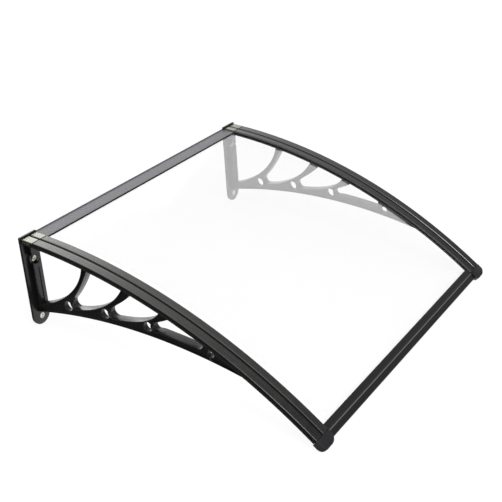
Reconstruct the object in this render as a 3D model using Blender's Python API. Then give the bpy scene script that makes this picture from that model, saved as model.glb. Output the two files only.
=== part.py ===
"""Clear window awning: two moulded brackets carry a bent polycarbonate sheet under aluminium strips and bars.

X runs along the wall, -Y points away from it and +Z is up. The wall is the plane Y = 0, and the origin
lies on it, at the middle of the rear bar. Sizes are in metres.
"""

import math

import bmesh
import bpy
from mathutils import Matrix, Vector

# Gap between pieces that lie against each other.
GAP = 0.0003

# Clear sheet, bent to an arc that falls away from the wall. Its radius is that of the upper face.
SHEET_WIDTH = 0.991
SHEET_LENGTH = 0.948
SHEET_THICKNESS = 0.003
SHEET_RADIUS = 1.588
SHEET_SLOPE_AT_WALL = math.radians(3.44)
SHEET_HEIGHT_AT_WALL = 0.0083
SHEET_EDGE_COVER = 0.001
ARC_STEPS = 24

# Aluminium pressing strips over the sheet, one to a bracket, each with a short cover at the wall.
STRIP_WIDTH = 0.053
STRIP_THICKNESS = 0.0034
STRIP_EDGE_ROUND = 0.0012
GROOVE_WIDTH = 0.0042
GROOVE_DEPTH = 0.0013

# Rubber gaskets above and below the sheet.
GASKET_THICKNESS = 0.0012
GASKET_WIDTH = 0.047

# Rear bar: an upright against the wall, with a seal in its back, and two lips that take the sheet's rear edge.
REAR_BAR_BELOW = 0.012
REAR_BAR_ABOVE = 0.012
REAR_BAR_WALL = 0.003
REAR_UPPER_LIP = 0.0455
REAR_LOWER_LIP = 0.034
REAR_FOOT = 0.0065
SEAL_HEIGHT = 0.008
SEAL_DEPTH = 0.0014

# Front bar: two lips that take the sheet's front edge, and a hollow rounded nose.
FRONT_UPPER_LIP = 0.0198
FRONT_LOWER_LIP = 0.014
FRONT_RIDGE_RISE = 0.0008
FRONT_RIDGE_WIDTH = 0.0030
FRONT_NOSE_LENGTH = 0.018
FRONT_NOSE_DEPTH = 0.0105
FRONT_NOSE_WALL = 0.0018
FRONT_NOSE_TIP = 0.0060
FRONT_NOSE_HEEL = 0.0042
FRONT_END_CUT = 0.00135

# Front caps, half round as seen from above, which close the ends of the front bar.
CAP_WIDTH = 0.057
CAP_OVERLAP = 0.004
CAP_FLAT = 0.0194
CAP_LENGTH = 0.0325
CAP_NOSE_DROP = 0.0080
CAP_TOP_WALL = 0.0026
CAP_BOTTOM_WALL = 0.0028
CAP_NOSE_REACH = 0.016

# Bracket flange under the sheet.
FLANGE_WIDTH = 0.055
FLANGE_THICKNESS = 0.0045

# Wall plate of the bracket, with a rounded tongue below the arm.
PLATE_WIDTH = 0.062
PLATE_THICKNESS = 0.007
PLATE_TOP = 0.0175
PLATE_BOTTOM = -0.2530
PLATE_CORNER = 0.004
PLATE_CHAMFER = 0.001
BOLT_HOLE = 0.011
BOLT_UPPER = -0.052
BOLT_LOWER = -0.228
BOSS_WIDTH = 0.031
BOSS_HEIGHT = 0.0065
BOSS_POCKET = 0.0275
BOSS_POCKET_SINK = 0.0006

# Arm of the bracket: a plate below the flange, with four openings and four round holes. Both of its faces are
# sunk to a thinner web, so that rims stay along the lower edge and around the openings.
ARM_THICKNESS = 0.0265
ARM_CHAMFER = 0.0009
WEB_THICKNESS = 0.016
RIM_THICKNESS = 0.0032
FLANGE_BITE = 0.0003
CUT_BEYOND = 0.002
ARM_HEIGHT_AT_WALL = -0.2115
ARM_RISE = 0.0395
ARM_REACH = 0.690
ARM_END_DEPTH = 0.0122
ARM_STEPS = 16
WEB_TOP_STEPS = 22
SPINE_TIP_DEPTH = 0.0055
SPINE_TIP_MARGIN = 0.004
SPINE_STEPS = 8
CORNER_CUT_SHORT = 0.6

# Round holes of the arm: distance from the wall, height above the arm's lower edge, and width of each. The
# last one keeps its distance from the arm's end.
HOLE_1_AT = 0.1214
HOLE_1_HEIGHT = 0.0230
HOLE_1_WIDTH = 0.0285
HOLE_2_AT = 0.2505
HOLE_2_HEIGHT = 0.0218
HOLE_2_WIDTH = 0.0280
HOLE_3_AT = 0.3905
HOLE_3_HEIGHT = 0.0212
HOLE_3_WIDTH = 0.0275
HOLE_4_FROM_END = 0.1100
HOLE_4_HEIGHT = 0.0160
HOLE_4_WIDTH = 0.0220
HOLE_CHAMFER = 0.0010

# First opening of the arm, a quarter round beside the wall.
FIRST_FOOT = 0.0220
FIRST_FOOT_SLOPE = 16
FIRST_END = 0.1960
FIRST_END_SLOPE = 83
ARM_WALL_BAR = 0.0215

# Openings between the struts. Each has a round nose low at the wall side, and two edges that run up to the
# flange: the upper one from above the nose, the lower one from below it. Slopes are in degrees, and heights are
# above the arm's lower edge.
SECOND_UPPER_AT = 0.2170
SECOND_UPPER_SLOPE = 63
SECOND_NOSE_AT = 0.1537
SECOND_NOSE_HEIGHT = 0.0343
SECOND_NOSE_RADIUS = 0.0140
SECOND_NOSE_SLOPES = (47, 8)
SECOND_LOWER_AT = 0.3270
SECOND_LOWER_SLOPE = 64
THIRD_UPPER_AT = 0.3555
THIRD_UPPER_SLOPE = 60
THIRD_NOSE_AT = 0.2840
THIRD_NOSE_HEIGHT = 0.0315
THIRD_NOSE_RADIUS = 0.0148
THIRD_NOSE_SLOPES = (40, 6)
THIRD_LOWER_AT = 0.4420
THIRD_LOWER_SLOPE = 62

# Last opening: the same nose and upper edge, a lower edge that follows the arm, and a round front corner.
LAST_UPPER_AT = 0.4745
LAST_UPPER_SLOPE = 45
LAST_NOSE_AT = 0.4195
LAST_NOSE_HEIGHT = 0.0300
LAST_NOSE_RADIUS = 0.0120
LAST_NOSE_SLOPES = (32, 0)
LAST_FLOOR = 0.0205
LAST_FRONT_FROM_END = 0.1270
LAST_FRONT_LEAN = 0.0015
LAST_CORNER = 0.0140
LAST_STEPS = 4
TOP_STEPS = 5

# Screws that hold the strips, the covers and the caps from below.
SCREW_STATIONS = 4
SCREW_END_MARGIN = 0.050
SCREW_OFFSET = 0.0188
SCREW_SHANK = 0.004
SCREW_HEAD = 0.0085
SCREW_HEAD_HEIGHT = 0.0026
SCREW_HEAD_ROUND = 0.0014
SCREW_COVER = 0.001
COVER_SCREW_AT = 0.0245
CAP_SCREW_FROM_RIDGE = 0.0080
CAP_SCREW_INSET = 0.006
CAP_SCREW_REACH = 0.0030

# Lengths that follow from the sizes above. "Above" and "below" are measured from the sheet's upper face,
# along its normal, and places along the arc are measured on that face from the wall.
STRIP_UNDERSIDE = GASKET_THICKNESS + 2 * GAP
STRIP_TOP = STRIP_UNDERSIDE + STRIP_THICKNESS
SHEET_UNDERSIDE = -SHEET_THICKNESS
FLANGE_TOP = SHEET_UNDERSIDE - GASKET_THICKNESS - 2 * GAP
FLANGE_BOTTOM = FLANGE_TOP - FLANGE_THICKNESS
LIP_UPPER = (GAP, GAP + GASKET_THICKNESS)
LIP_LOWER = (SHEET_UNDERSIDE - GAP - GASKET_THICKNESS, SHEET_UNDERSIDE - GAP)
BRACKET_OFFSET = SHEET_WIDTH / 2 + SHEET_EDGE_COVER - STRIP_WIDTH / 2
SHEET_START = PLATE_THICKNESS + 5 * GAP
SHEET_END = SHEET_START + SHEET_LENGTH
RIDGE_AT = SHEET_END - 0.001
UPPER_LIP_AT = RIDGE_AT - FRONT_UPPER_LIP
LOWER_LIP_AT = RIDGE_AT - FRONT_LOWER_LIP
COVER_START = PLATE_THICKNESS + 3 * GAP
COVER_END = REAR_UPPER_LIP + GAP
STRIP_START = COVER_END + GAP
STRIP_END = RIDGE_AT - CAP_OVERLAP
FLANGE_END = STRIP_END - GAP
NOSE_START = SHEET_END + 2 * GAP
NOSE_END = RIDGE_AT + FRONT_NOSE_LENGTH
NOSE_BOTTOM = LIP_UPPER[1] - FRONT_NOSE_DEPTH
CAP_CAVITY_TOP = LIP_UPPER[1] + FRONT_RIDGE_RISE + GAP
CAP_TOP = CAP_CAVITY_TOP + CAP_TOP_WALL
CAP_CAVITY_BOTTOM = NOSE_BOTTOM - GAP
CAP_BOTTOM = CAP_CAVITY_BOTTOM - CAP_BOTTOM_WALL
CAP_CAVITY_END = NOSE_END + GAP
CAP_CAVITY_SIDE = SHEET_WIDTH / 2 + GAP
CAP_START = STRIP_END + GAP
CAP_END = CAP_START + CAP_LENGTH
ARC_CENTRE = (
    -SHEET_RADIUS * math.sin(SHEET_SLOPE_AT_WALL),
    SHEET_HEIGHT_AT_WALL - SHEET_RADIUS * math.cos(SHEET_SLOPE_AT_WALL),
)
HOLE_4_AT = ARM_REACH - HOLE_4_FROM_END
LAST_FRONT = ARM_REACH - LAST_FRONT_FROM_END

OBJECT_NAME = "Window awning"

MATERIALS = {
    "bracket_plastic": ((0.018, 0.018, 0.020), 0.42, 0.0),
    "cap_plastic": ((0.020, 0.020, 0.022), 0.40, 0.0),
    "strip_aluminium": ((0.34, 0.35, 0.34), 0.38, 1.0),
    "cover_aluminium": ((0.58, 0.62, 0.57), 0.38, 1.0),
    "rear_bar_aluminium": ((0.30, 0.30, 0.32), 0.36, 1.0),
    "front_bar_aluminium": ((0.10, 0.10, 0.11), 0.35, 1.0),
    "sheet_polycarbonate": ((0.90, 0.93, 0.94), 0.06, 0.0),
    "gasket_rubber": ((0.012, 0.012, 0.012), 0.75, 0.0),
    "seal_foam": ((0.020, 0.020, 0.020), 0.85, 0.0),
    "screw_steel": ((0.55, 0.56, 0.58), 0.30, 1.0),
}


def clear_scene():
    """Remove every object of the startup scene."""
    for obj in list(bpy.data.objects):
        bpy.data.objects.remove(obj, do_unlink=True)


def collection(name):
    """Make a collection in the scene."""
    made = bpy.data.collections.new(name)
    bpy.context.scene.collection.children.link(made)
    return made


def material(name):
    """Return the named material, made once."""
    if name in bpy.data.materials:
        return bpy.data.materials[name]
    colour, roughness, metallic = MATERIALS[name]
    made = bpy.data.materials.new(name)
    made.use_nodes = True
    shader = made.node_tree.nodes["Principled BSDF"]
    shader.inputs["Base Color"].default_value = (*colour, 1.0)
    shader.inputs["Roughness"].default_value = roughness
    shader.inputs["Metallic"].default_value = metallic
    made.diffuse_color = (*colour, 1.0)
    return made


def arc_point(along, above):
    """Distance from the wall and height of a point above the sheet's upper face, at a length along its arc."""
    angle = SHEET_SLOPE_AT_WALL + along / SHEET_RADIUS
    radius = SHEET_RADIUS + above
    return (
        ARC_CENTRE[0] + radius * math.sin(angle),
        ARC_CENTRE[1] + radius * math.cos(angle),
    )


def arc_run(start, end, above, steps):
    """Points at one height above the sheet, from one place along its arc to another."""
    return [arc_point(start + (end - start) * i / steps, above) for i in range(steps + 1)]


def flange_height(distance, above=FLANGE_BOTTOM):
    """Height of a surface that follows the sheet, at a distance from the wall."""
    radius = SHEET_RADIUS + above
    return ARC_CENTRE[1] + math.sqrt(radius**2 - (distance - ARC_CENTRE[0]) ** 2)


def arm_height(distance):
    """Height of the arm's lower edge, a shallow arch between the wall and the place where it meets the spine."""
    half = ARM_REACH / 2
    radius = (half**2 + ARM_RISE**2) / (2 * ARM_RISE)
    arch = math.sqrt(radius**2 - (distance - half) ** 2) - (radius - ARM_RISE)
    end = flange_height(ARM_REACH) - ARM_END_DEPTH
    return ARM_HEIGHT_AT_WALL + (end - ARM_HEIGHT_AT_WALL) * distance / ARM_REACH + arch


def bow(start, end, leaving, arriving, steps=12):
    """Points of a smooth curve that leaves its start and reaches its end at the given slopes in degrees."""
    start = Vector(start)
    end = Vector(end)
    reach = (end - start).length / 3
    first = start + reach * Vector((math.cos(math.radians(leaving)), math.sin(math.radians(leaving))))
    last = end - reach * Vector((math.cos(math.radians(arriving)), math.sin(math.radians(arriving))))
    points = []
    for i in range(steps + 1):
        t = i / steps
        points.append(
            tuple(
                (1 - t) ** 3 * start
                + 3 * t * (1 - t) ** 2 * first
                + 3 * t**2 * (1 - t) * last
                + t**3 * end
            )
        )
    return points


def round_corner(centre, radius, start, end, steps=4):
    """Points of a round corner between two angles in degrees."""
    turns = [math.radians(start + (end - start) * i / steps) for i in range(steps + 1)]
    return [(centre[0] + radius * math.cos(t), centre[1] + radius * math.sin(t)) for t in turns]


def signed_area(points):
    """Area inside an outline, positive where it runs anticlockwise."""
    pairs = zip(points, points[1:] + points[:1])
    return sum(a[0] * b[1] - b[0] * a[1] for a, b in pairs) / 2


SIDE_VIEW = Matrix(((0, 0, -1, 0), (-1, 0, 0, 0), (0, 1, 0, 0), (0, 0, 0, 1)))
WALL_VIEW = Matrix(((1, 0, 0, 0), (0, 0, -1, 0), (0, 1, 0, 0), (0, 0, 0, 1)))


def plate_mesh(name, outline, holes, depth, chamfer=0.0):
    """Mesh of a flat outline with holes, of one thickness, its edges chamfered."""
    curve = bpy.data.curves.new(name, "CURVE")
    curve.dimensions = "2D"
    curve.fill_mode = "BOTH"
    curve.extrude = depth / 2 - chamfer
    curve.bevel_depth = chamfer
    curve.bevel_resolution = 0
    curve.offset = -chamfer
    for index, loop in enumerate([outline, *holes]):
        if (signed_area(loop) > 0) != (index == 0):
            loop = loop[::-1]
        spline = curve.splines.new("POLY")
        spline.points.add(len(loop) - 1)
        for point, place in zip(spline.points, loop):
            point.co = (place[0], place[1], 0.0, 1.0)
        spline.use_cyclic_u = True
    carrier = bpy.data.objects.new(name, curve)
    bpy.context.scene.collection.objects.link(carrier)
    graph = bpy.context.evaluated_depsgraph_get()
    mesh = bpy.data.meshes.new_from_object(carrier.evaluated_get(graph))
    bpy.data.objects.remove(carrier, do_unlink=True)
    bm = bmesh.new()
    bm.from_mesh(mesh)
    bmesh.ops.remove_doubles(bm, verts=bm.verts, dist=0.00001)
    bmesh.ops.recalc_face_normals(bm, faces=bm.faces)
    bm.to_mesh(mesh)
    bm.free()
    mesh.name = name
    return mesh


def swept_mesh(name, section, start, end, steps=ARC_STEPS):
    """Mesh of a section, given as places across the sheet and above it, swept along the sheet's arc."""
    bm = bmesh.new()
    ring = []
    for across, above in section:
        distance, height = arc_point(start, above)
        ring.append(bm.verts.new((across, -distance, height)))
    face = bm.faces.new(ring)
    bmesh.ops.spin(
        bm,
        geom=[face, *face.verts, *face.edges],
        cent=(0.0, -ARC_CENTRE[0], ARC_CENTRE[1]),
        axis=(1.0, 0.0, 0.0),
        angle=(end - start) / SHEET_RADIUS,
        steps=steps,
        use_duplicate=False,
    )
    bmesh.ops.remove_doubles(bm, verts=bm.verts, dist=0.00001)
    bmesh.ops.recalc_face_normals(bm, faces=bm.faces)
    mesh = bpy.data.meshes.new(name)
    bm.to_mesh(mesh)
    bm.free()
    return mesh


def place(name, mesh, home, material_name=None, matrix=None):
    """Put a mesh in a collection as an object."""
    obj = bpy.data.objects.new(name, mesh)
    home.objects.link(obj)
    if matrix is not None:
        obj.matrix_world = matrix
    if material_name is not None:
        mesh.materials.clear()
        mesh.materials.append(material(material_name))
        mesh.shade_smooth()
        mesh.set_sharp_from_angle(angle=math.radians(28))
    else:
        obj.hide_render = True
        obj.display_type = "WIRE"
    return obj


def boolean(obj, operation, other):
    """Join a shape to an object, or cut it away."""
    modifier = obj.modifiers.new(other.name, "BOOLEAN")
    modifier.operation = operation
    modifier.object = other
    modifier.solver = "EXACT"


def flat_faces(obj):
    """Split an object's faces into triangles, which stay flat when it is joined to another."""
    obj.modifiers.new("Flat faces", "TRIANGULATE")


def rod_mesh(name, radius, length, sides=12):
    """Mesh of a plain cylinder along its own Z, centred on its origin."""
    bm = bmesh.new()
    bmesh.ops.create_cone(
        bm, cap_ends=True, segments=sides, radius1=radius, radius2=radius, depth=length
    )
    mesh = bpy.data.meshes.new(name)
    bm.to_mesh(mesh)
    bm.free()
    return mesh


def box_mesh(name, low, high):
    """Mesh of a box between two corners."""
    bm = bmesh.new()
    size = Vector(high) - Vector(low)
    middle = (Vector(high) + Vector(low)) / 2
    bmesh.ops.create_cube(bm, size=1.0, matrix=Matrix.Translation(middle) @ Matrix.Diagonal((*size, 1.0)))
    mesh = bpy.data.meshes.new(name)
    bm.to_mesh(mesh)
    bm.free()
    return mesh


def normal_frame(across, along, above):
    """Matrix of a place on the arc, its own Z along the sheet's normal."""
    distance, height = arc_point(along, above)
    angle = SHEET_SLOPE_AT_WALL + along / SHEET_RADIUS
    return Matrix.Translation((across, -distance, height)) @ Matrix.Rotation(angle, 4, "X")


def opening_nose(distance, height, radius, upper_slope, lower_slope, steps=6):
    """Round nose of an opening, from the end of its upper edge round to the start of its lower edge."""
    centre = (distance, arm_height(distance) + height)
    return round_corner(centre, radius, upper_slope + 90, lower_slope + 270, steps)


def opening_top(distance):
    """Point where an opening's edge has entered the flange."""
    return (distance, flange_height(distance, FLANGE_BOTTOM + FLANGE_BITE))


def under_flange(start, end):
    """Points along the flange from one end of an opening to the other, without the two ends."""
    return [opening_top(start + (end - start) * i / TOP_STEPS) for i in range(1, TOP_STEPS)]


def first_opening():
    """Outline of the opening beside the wall."""
    foot = (FIRST_FOOT, arm_height(FIRST_FOOT) + ARM_WALL_BAR)
    edge = bow(foot, opening_top(FIRST_END), FIRST_FOOT_SLOPE, FIRST_END_SLOPE, 14)
    return [opening_top(FIRST_FOOT), *edge, *under_flange(FIRST_END, FIRST_FOOT)]


def strut_opening(upper_at, upper_slope, nose_at, nose_height, nose_radius, nose_slopes, lower_at, lower_slope):
    """Outline of an opening between two struts."""
    above, below = nose_slopes
    nose = opening_nose(nose_at, nose_height, nose_radius, above, below)
    down = bow(nose[0], opening_top(upper_at), above, upper_slope, 6)[::-1]
    rise = bow(nose[-1], opening_top(lower_at), below, lower_slope, 14)
    return [*down, *nose[1:-1], *rise, *under_flange(lower_at, upper_at)]


def second_opening():
    """Outline of the opening after the first strut."""
    return strut_opening(
        SECOND_UPPER_AT,
        SECOND_UPPER_SLOPE,
        SECOND_NOSE_AT,
        SECOND_NOSE_HEIGHT,
        SECOND_NOSE_RADIUS,
        SECOND_NOSE_SLOPES,
        SECOND_LOWER_AT,
        SECOND_LOWER_SLOPE,
    )


def third_opening():
    """Outline of the opening after the second strut."""
    return strut_opening(
        THIRD_UPPER_AT,
        THIRD_UPPER_SLOPE,
        THIRD_NOSE_AT,
        THIRD_NOSE_HEIGHT,
        THIRD_NOSE_RADIUS,
        THIRD_NOSE_SLOPES,
        THIRD_LOWER_AT,
        THIRD_LOWER_SLOPE,
    )


def last_opening():
    """Outline of the opening nearest the tip."""
    above, below = LAST_NOSE_SLOPES
    nose = opening_nose(LAST_NOSE_AT, LAST_NOSE_HEIGHT, LAST_NOSE_RADIUS, above, below)
    down = bow(nose[0], opening_top(LAST_UPPER_AT), above, LAST_UPPER_SLOPE, 6)[::-1]
    corner_at = LAST_FRONT - LAST_CORNER
    start = LAST_NOSE_AT + LAST_NOSE_RADIUS
    floor = []
    for i in range(LAST_STEPS + 1):
        reach = start + (corner_at - start) * i / LAST_STEPS
        floor.append((reach, arm_height(reach) + LAST_FLOOR))
    centre = (corner_at, arm_height(corner_at) + LAST_FLOOR + LAST_CORNER)
    corner = round_corner(centre, LAST_CORNER, 280, 360, 5)
    front = LAST_FRONT + LAST_FRONT_LEAN
    return [*down, *nose[1:-1], *floor, *corner, opening_top(front), *under_flange(front, LAST_UPPER_AT)]


def round_holes():
    """Distance from the wall, height above the arm's lower edge and width of each round hole of the arm."""
    return (
        (HOLE_1_AT, HOLE_1_HEIGHT, HOLE_1_WIDTH),
        (HOLE_2_AT, HOLE_2_HEIGHT, HOLE_2_WIDTH),
        (HOLE_3_AT, HOLE_3_HEIGHT, HOLE_3_WIDTH),
        (HOLE_4_AT, HOLE_4_HEIGHT, HOLE_4_WIDTH),
    )


def lower_edge():
    """Path of the arm's lower edge, from inside the wall plate along the arch and the spine to the tip."""
    root = PLATE_THICKNESS / 2
    path = []
    for i in range(ARM_STEPS + 1):
        reach = root + (ARM_REACH - root) * i / ARM_STEPS
        path.append((reach, arm_height(reach)))
    run = ARM_REACH - ARC_CENTRE[0]
    rise = arm_height(ARM_REACH) - ARC_CENTRE[1]
    start = (math.atan2(run, rise) - SHEET_SLOPE_AT_WALL) * SHEET_RADIUS
    depth = math.hypot(run, rise) - SHEET_RADIUS
    tip = FLANGE_END - SPINE_TIP_MARGIN
    tip_depth = FLANGE_BOTTOM - SPINE_TIP_DEPTH
    for i in range(1, SPINE_STEPS + 1):
        share = i / SPINE_STEPS
        path.append(arc_point(start + (tip - start) * share, depth + (tip_depth - depth) * share))
    return path


def moved(path, distance, closed):
    """Path moved sideways, to the right of its direction, its sharp corners cut short."""
    before = [path[-1] if closed else path[0], *path[:-1]]
    after = [*path[1:], path[0] if closed else path[-1]]
    made = []
    for left, here, right in zip(before, path, after):
        normal = Vector((0.0, 0.0))
        for start, end in ((left, here), (here, right)):
            if start != end:
                step = Vector(end) - Vector(start)
                normal += Vector((step.y, -step.x)).normalized()
        sides = 2 if left != here != right else 1
        reach = distance / max(normal.length / sides, CORNER_CUT_SHORT)
        made.append(tuple(Vector(here) + normal.normalized() * reach))
    return made


def grown(outline, distance):
    """Closed outline moved outwards."""
    if signed_area(outline) < 0:
        outline = outline[::-1]
    return moved(outline, distance, True)


def arm_outline():
    """Outline of the arm, its upper edge inside the flange and its root inside the wall plate."""
    tip = FLANGE_END - SPINE_TIP_MARGIN
    return lower_edge() + arc_run(tip, PLATE_THICKNESS / 2, FLANGE_TOP - FLANGE_BITE, WEB_TOP_STEPS)


def sunk_outline():
    """Outline of what is sunk in a face of the arm: it leaves the lower rim, and passes the root and upper edge."""
    path = moved(lower_edge(), -RIM_THICKNESS, False)
    top = arc_run(FLANGE_END - SPINE_TIP_MARGIN - RIM_THICKNESS, 0.0, FLANGE_TOP + CUT_BEYOND, WEB_TOP_STEPS)
    return [(0.0, path[0][1]), *path[:-1], *top]


def plate_outline():
    """Outline of the wall plate: a rounded tongue below and two small round corners above."""
    half = PLATE_WIDTH / 2
    tongue = round_corner((0.0, PLATE_BOTTOM + half), half, 180, 360, 16)
    inner = half - PLATE_CORNER
    right = round_corner((inner, PLATE_TOP - PLATE_CORNER), PLATE_CORNER, 0, 90)
    left = round_corner((-inner, PLATE_TOP - PLATE_CORNER), PLATE_CORNER, 90, 180)
    return tongue + right + left


def across_rod(name, radius, start, end, height, sides):
    """Cylinder that runs away from the wall, centred across the bracket."""
    mesh = rod_mesh(name, radius, end - start, sides)
    turn = Matrix.Translation((0.0, -(start + end) / 2, height)) @ Matrix.Rotation(math.pi / 2, 4, "X")
    mesh.transform(turn)
    return mesh


def joined_mesh(name, meshes):
    """One mesh of several."""
    bm = bmesh.new()
    for mesh in meshes:
        bm.from_mesh(mesh)
    made = bpy.data.meshes.new(name)
    bm.to_mesh(made)
    bm.free()
    for mesh in meshes:
        bpy.data.meshes.remove(mesh)
    return made


def hole_cutter_mesh():
    """Round holes of the arm, wider at both faces of the web."""
    half = WEB_THICKNESS / 2
    bm = bmesh.new()
    for distance, height, width in round_holes():
        radius = width / 2
        side = [
            (half + HOLE_CHAMFER, 0.0),
            (half + HOLE_CHAMFER, radius + 2 * HOLE_CHAMFER),
            (half - HOLE_CHAMFER, radius),
        ]
        profile = side + [(-x, r) for x, r in reversed(side)]
        centre = Vector((0.0, -distance, arm_height(distance) + height))
        verts = [bm.verts.new(centre + Vector((x, 0.0, r))) for x, r in profile]
        edges = [bm.edges.new(pair) for pair in zip(verts, verts[1:])]
        bmesh.ops.spin(
            bm, geom=[*verts, *edges], cent=centre, axis=(1, 0, 0), angle=2 * math.pi, steps=24
        )
    bmesh.ops.remove_doubles(bm, verts=bm.verts, dist=0.00001)
    bmesh.ops.recalc_face_normals(bm, faces=bm.faces)
    mesh = bpy.data.meshes.new("round_holes")
    bm.to_mesh(mesh)
    bm.free()
    return mesh


def screw_places():
    """Places along the arc of the screws on one side of a strip and its cover."""
    first = STRIP_START + SCREW_END_MARGIN
    last = STRIP_END - SCREW_END_MARGIN
    run = [first + (last - first) * i / (SCREW_STATIONS - 1) for i in range(SCREW_STATIONS)]
    return [COVER_SCREW_AT, *run]


def screw_hole_mesh():
    """Shank holes of one bracket, from below the flange to their blind ends in the strip and its cover."""
    low = FLANGE_BOTTOM - CUT_BEYOND
    high = STRIP_TOP - SCREW_COVER
    meshes = []
    for along in screw_places():
        for side in (-1, 1):
            mesh = rod_mesh("screw_hole", SCREW_SHANK / 2 + GAP, high - low, 8)
            matrix = normal_frame(side * SCREW_OFFSET, along, 0.0)
            mesh.transform(matrix @ Matrix.Translation((0.0, 0.0, (low + high) / 2)))
            meshes.append(mesh)
    return joined_mesh("screw_holes", meshes)


def screw_mesh(name, seat, end):
    """Domed screw along its own Z, its head below the seat."""
    head = SCREW_HEAD / 2
    shank = SCREW_SHANK / 2
    base = seat - SCREW_HEAD_HEIGHT
    profile = [
        (0.0, base),
        (head - SCREW_HEAD_ROUND, base + SCREW_HEAD_ROUND / 3),
        (head, base + SCREW_HEAD_ROUND),
        (head, seat),
        (shank, seat),
        (shank, end),
        (0.0, end),
    ]
    bm = bmesh.new()
    verts = [bm.verts.new((radius, 0.0, height)) for radius, height in profile]
    edges = [bm.edges.new(pair) for pair in zip(verts, verts[1:])]
    bmesh.ops.spin(bm, geom=[*verts, *edges], cent=(0, 0, 0), axis=(0, 0, 1), angle=2 * math.pi, steps=10)
    bmesh.ops.remove_doubles(bm, verts=bm.verts, dist=0.00001)
    bmesh.ops.recalc_face_normals(bm, faces=bm.faces)
    mesh = bpy.data.meshes.new(name)
    bm.to_mesh(mesh)
    bm.free()
    return mesh


SIDES = {"left": -1, "right": 1}


def side_shift(side):
    """Matrix that carries a shape from the middle to one bracket."""
    return Matrix.Translation((SIDES[side] * BRACKET_OFFSET, 0.0, 0.0))


def build_cutters(helpers):
    """Shapes that are joined to the brackets or cut from the pieces, for both sides."""
    openings = web_openings()
    arm = plate_mesh("arm", arm_outline(), openings, ARM_THICKNESS, ARM_CHAMFER)
    arm.transform(SIDE_VIEW)
    depth = (ARM_THICKNESS - WEB_THICKNESS) / 2 + CUT_BEYOND
    sunk = []
    for sign in (-1, 1):
        face = plate_mesh("sunk_face", sunk_outline(), [], depth)
        across = sign * (WEB_THICKNESS + depth) / 2
        face.transform(Matrix.Translation((across, 0.0, 0.0)) @ SIDE_VIEW)
        sunk.append(face)
    rims = {}
    for number, opening in enumerate(openings, 1):
        rim = plate_mesh("rim", grown(opening, RIM_THICKNESS), [], ARM_THICKNESS + 4 * CUT_BEYOND)
        rim.transform(SIDE_VIEW)
        rims[f"rim_{number}"] = rim
    plate = plate_mesh("wall_plate", plate_outline(), [], PLATE_THICKNESS, PLATE_CHAMFER)
    plate.transform(Matrix.Translation((0.0, -PLATE_THICKNESS / 2, 0.0)) @ WALL_VIEW)
    face = PLATE_THICKNESS + BOSS_HEIGHT
    boss = across_rod("boss", BOSS_WIDTH / 2, PLATE_THICKNESS / 2, face, BOLT_UPPER, 24)
    floor = face - BOSS_POCKET_SINK
    beyond = FIRST_FOOT + RIM_THICKNESS + CUT_BEYOND
    pocket = across_rod("pocket", BOSS_POCKET / 2, floor, beyond, BOLT_UPPER, 24)
    bolts = joined_mesh(
        "bolt_holes",
        [
            across_rod("bolt_hole", BOLT_HOLE / 2, -CUT_BEYOND, beyond, height, 20)
            for height in (BOLT_UPPER, BOLT_LOWER)
        ],
    )
    shapes = {
        "arm": arm,
        "sunk_faces": joined_mesh("sunk_faces", sunk),
        **rims,
        "wall_plate": plate,
        "boss": boss,
        "pocket": pocket,
        "bolt_holes": bolts,
        "round_holes": hole_cutter_mesh(),
        "screw_holes": screw_hole_mesh(),
    }
    made = {}
    for side in SIDES:
        for name, mesh in shapes.items():
            made[name, side] = place(f"{name}_{side}", mesh, helpers, matrix=side_shift(side))
        for name in rims:
            boolean(made["sunk_faces", side], "DIFFERENCE", made[name, side])
        boolean(made["arm", side], "DIFFERENCE", made["sunk_faces", side])
        flat_faces(made["arm", side])
    return made


def web_openings():
    """Outlines of the arm's four openings."""
    return [first_opening(), second_opening(), third_opening(), last_opening()]


def strip_section(width):
    """Section of a strip: round upper edges and a groove along the middle."""
    half = width / 2
    edge = STRIP_EDGE_ROUND
    top = STRIP_TOP
    groove = GROOVE_WIDTH / 2
    right = round_corner((half - edge, top - edge), edge, 0, 90, 3)
    left = round_corner((edge - half, top - edge), edge, 90, 180, 3)
    return [
        (-half, STRIP_UNDERSIDE),
        (half, STRIP_UNDERSIDE),
        *right,
        (groove, top),
        (groove, top - GROOVE_DEPTH),
        (-groove, top - GROOVE_DEPTH),
        (-groove, top),
        *left,
    ]


def box_section(width, low, high):
    """Plain rectangular section."""
    half = width / 2
    return [(-half, low), (half, low), (half, high), (-half, high)]


def rear_bar_outline():
    """Side view of the rear bar."""
    upper_top = arc_run(REAR_BAR_WALL, REAR_UPPER_LIP, LIP_UPPER[1], 3)
    upper_low = arc_run(REAR_UPPER_LIP, REAR_BAR_WALL, LIP_UPPER[0], 3)
    lower_top = arc_run(REAR_BAR_WALL, REAR_LOWER_LIP, LIP_LOWER[1], 2)
    lower_low = arc_run(REAR_LOWER_LIP, REAR_BAR_WALL, LIP_LOWER[0], 2)
    seal = SEAL_HEIGHT / 2 + GAP
    depth = SEAL_DEPTH + GAP
    return [
        (0.0, -seal),
        (0.0, -REAR_BAR_BELOW),
        (REAR_FOOT, -REAR_BAR_BELOW),
        (REAR_FOOT, -REAR_BAR_BELOW + REAR_BAR_WALL / 2),
        (REAR_BAR_WALL, -REAR_BAR_BELOW + REAR_BAR_WALL / 2),
        *lower_low[::-1],
        *lower_top[::-1],
        *upper_low[::-1],
        *upper_top[::-1],
        (REAR_BAR_WALL, REAR_BAR_ABOVE),
        (0.0, REAR_BAR_ABOVE),
        (0.0, seal),
        (depth, seal),
        (depth, -seal),
    ]


def side_view(places):
    """Points in the side view, from places along the arc and above the sheet."""
    return [arc_point(along, above) for along, above in places]


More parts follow.
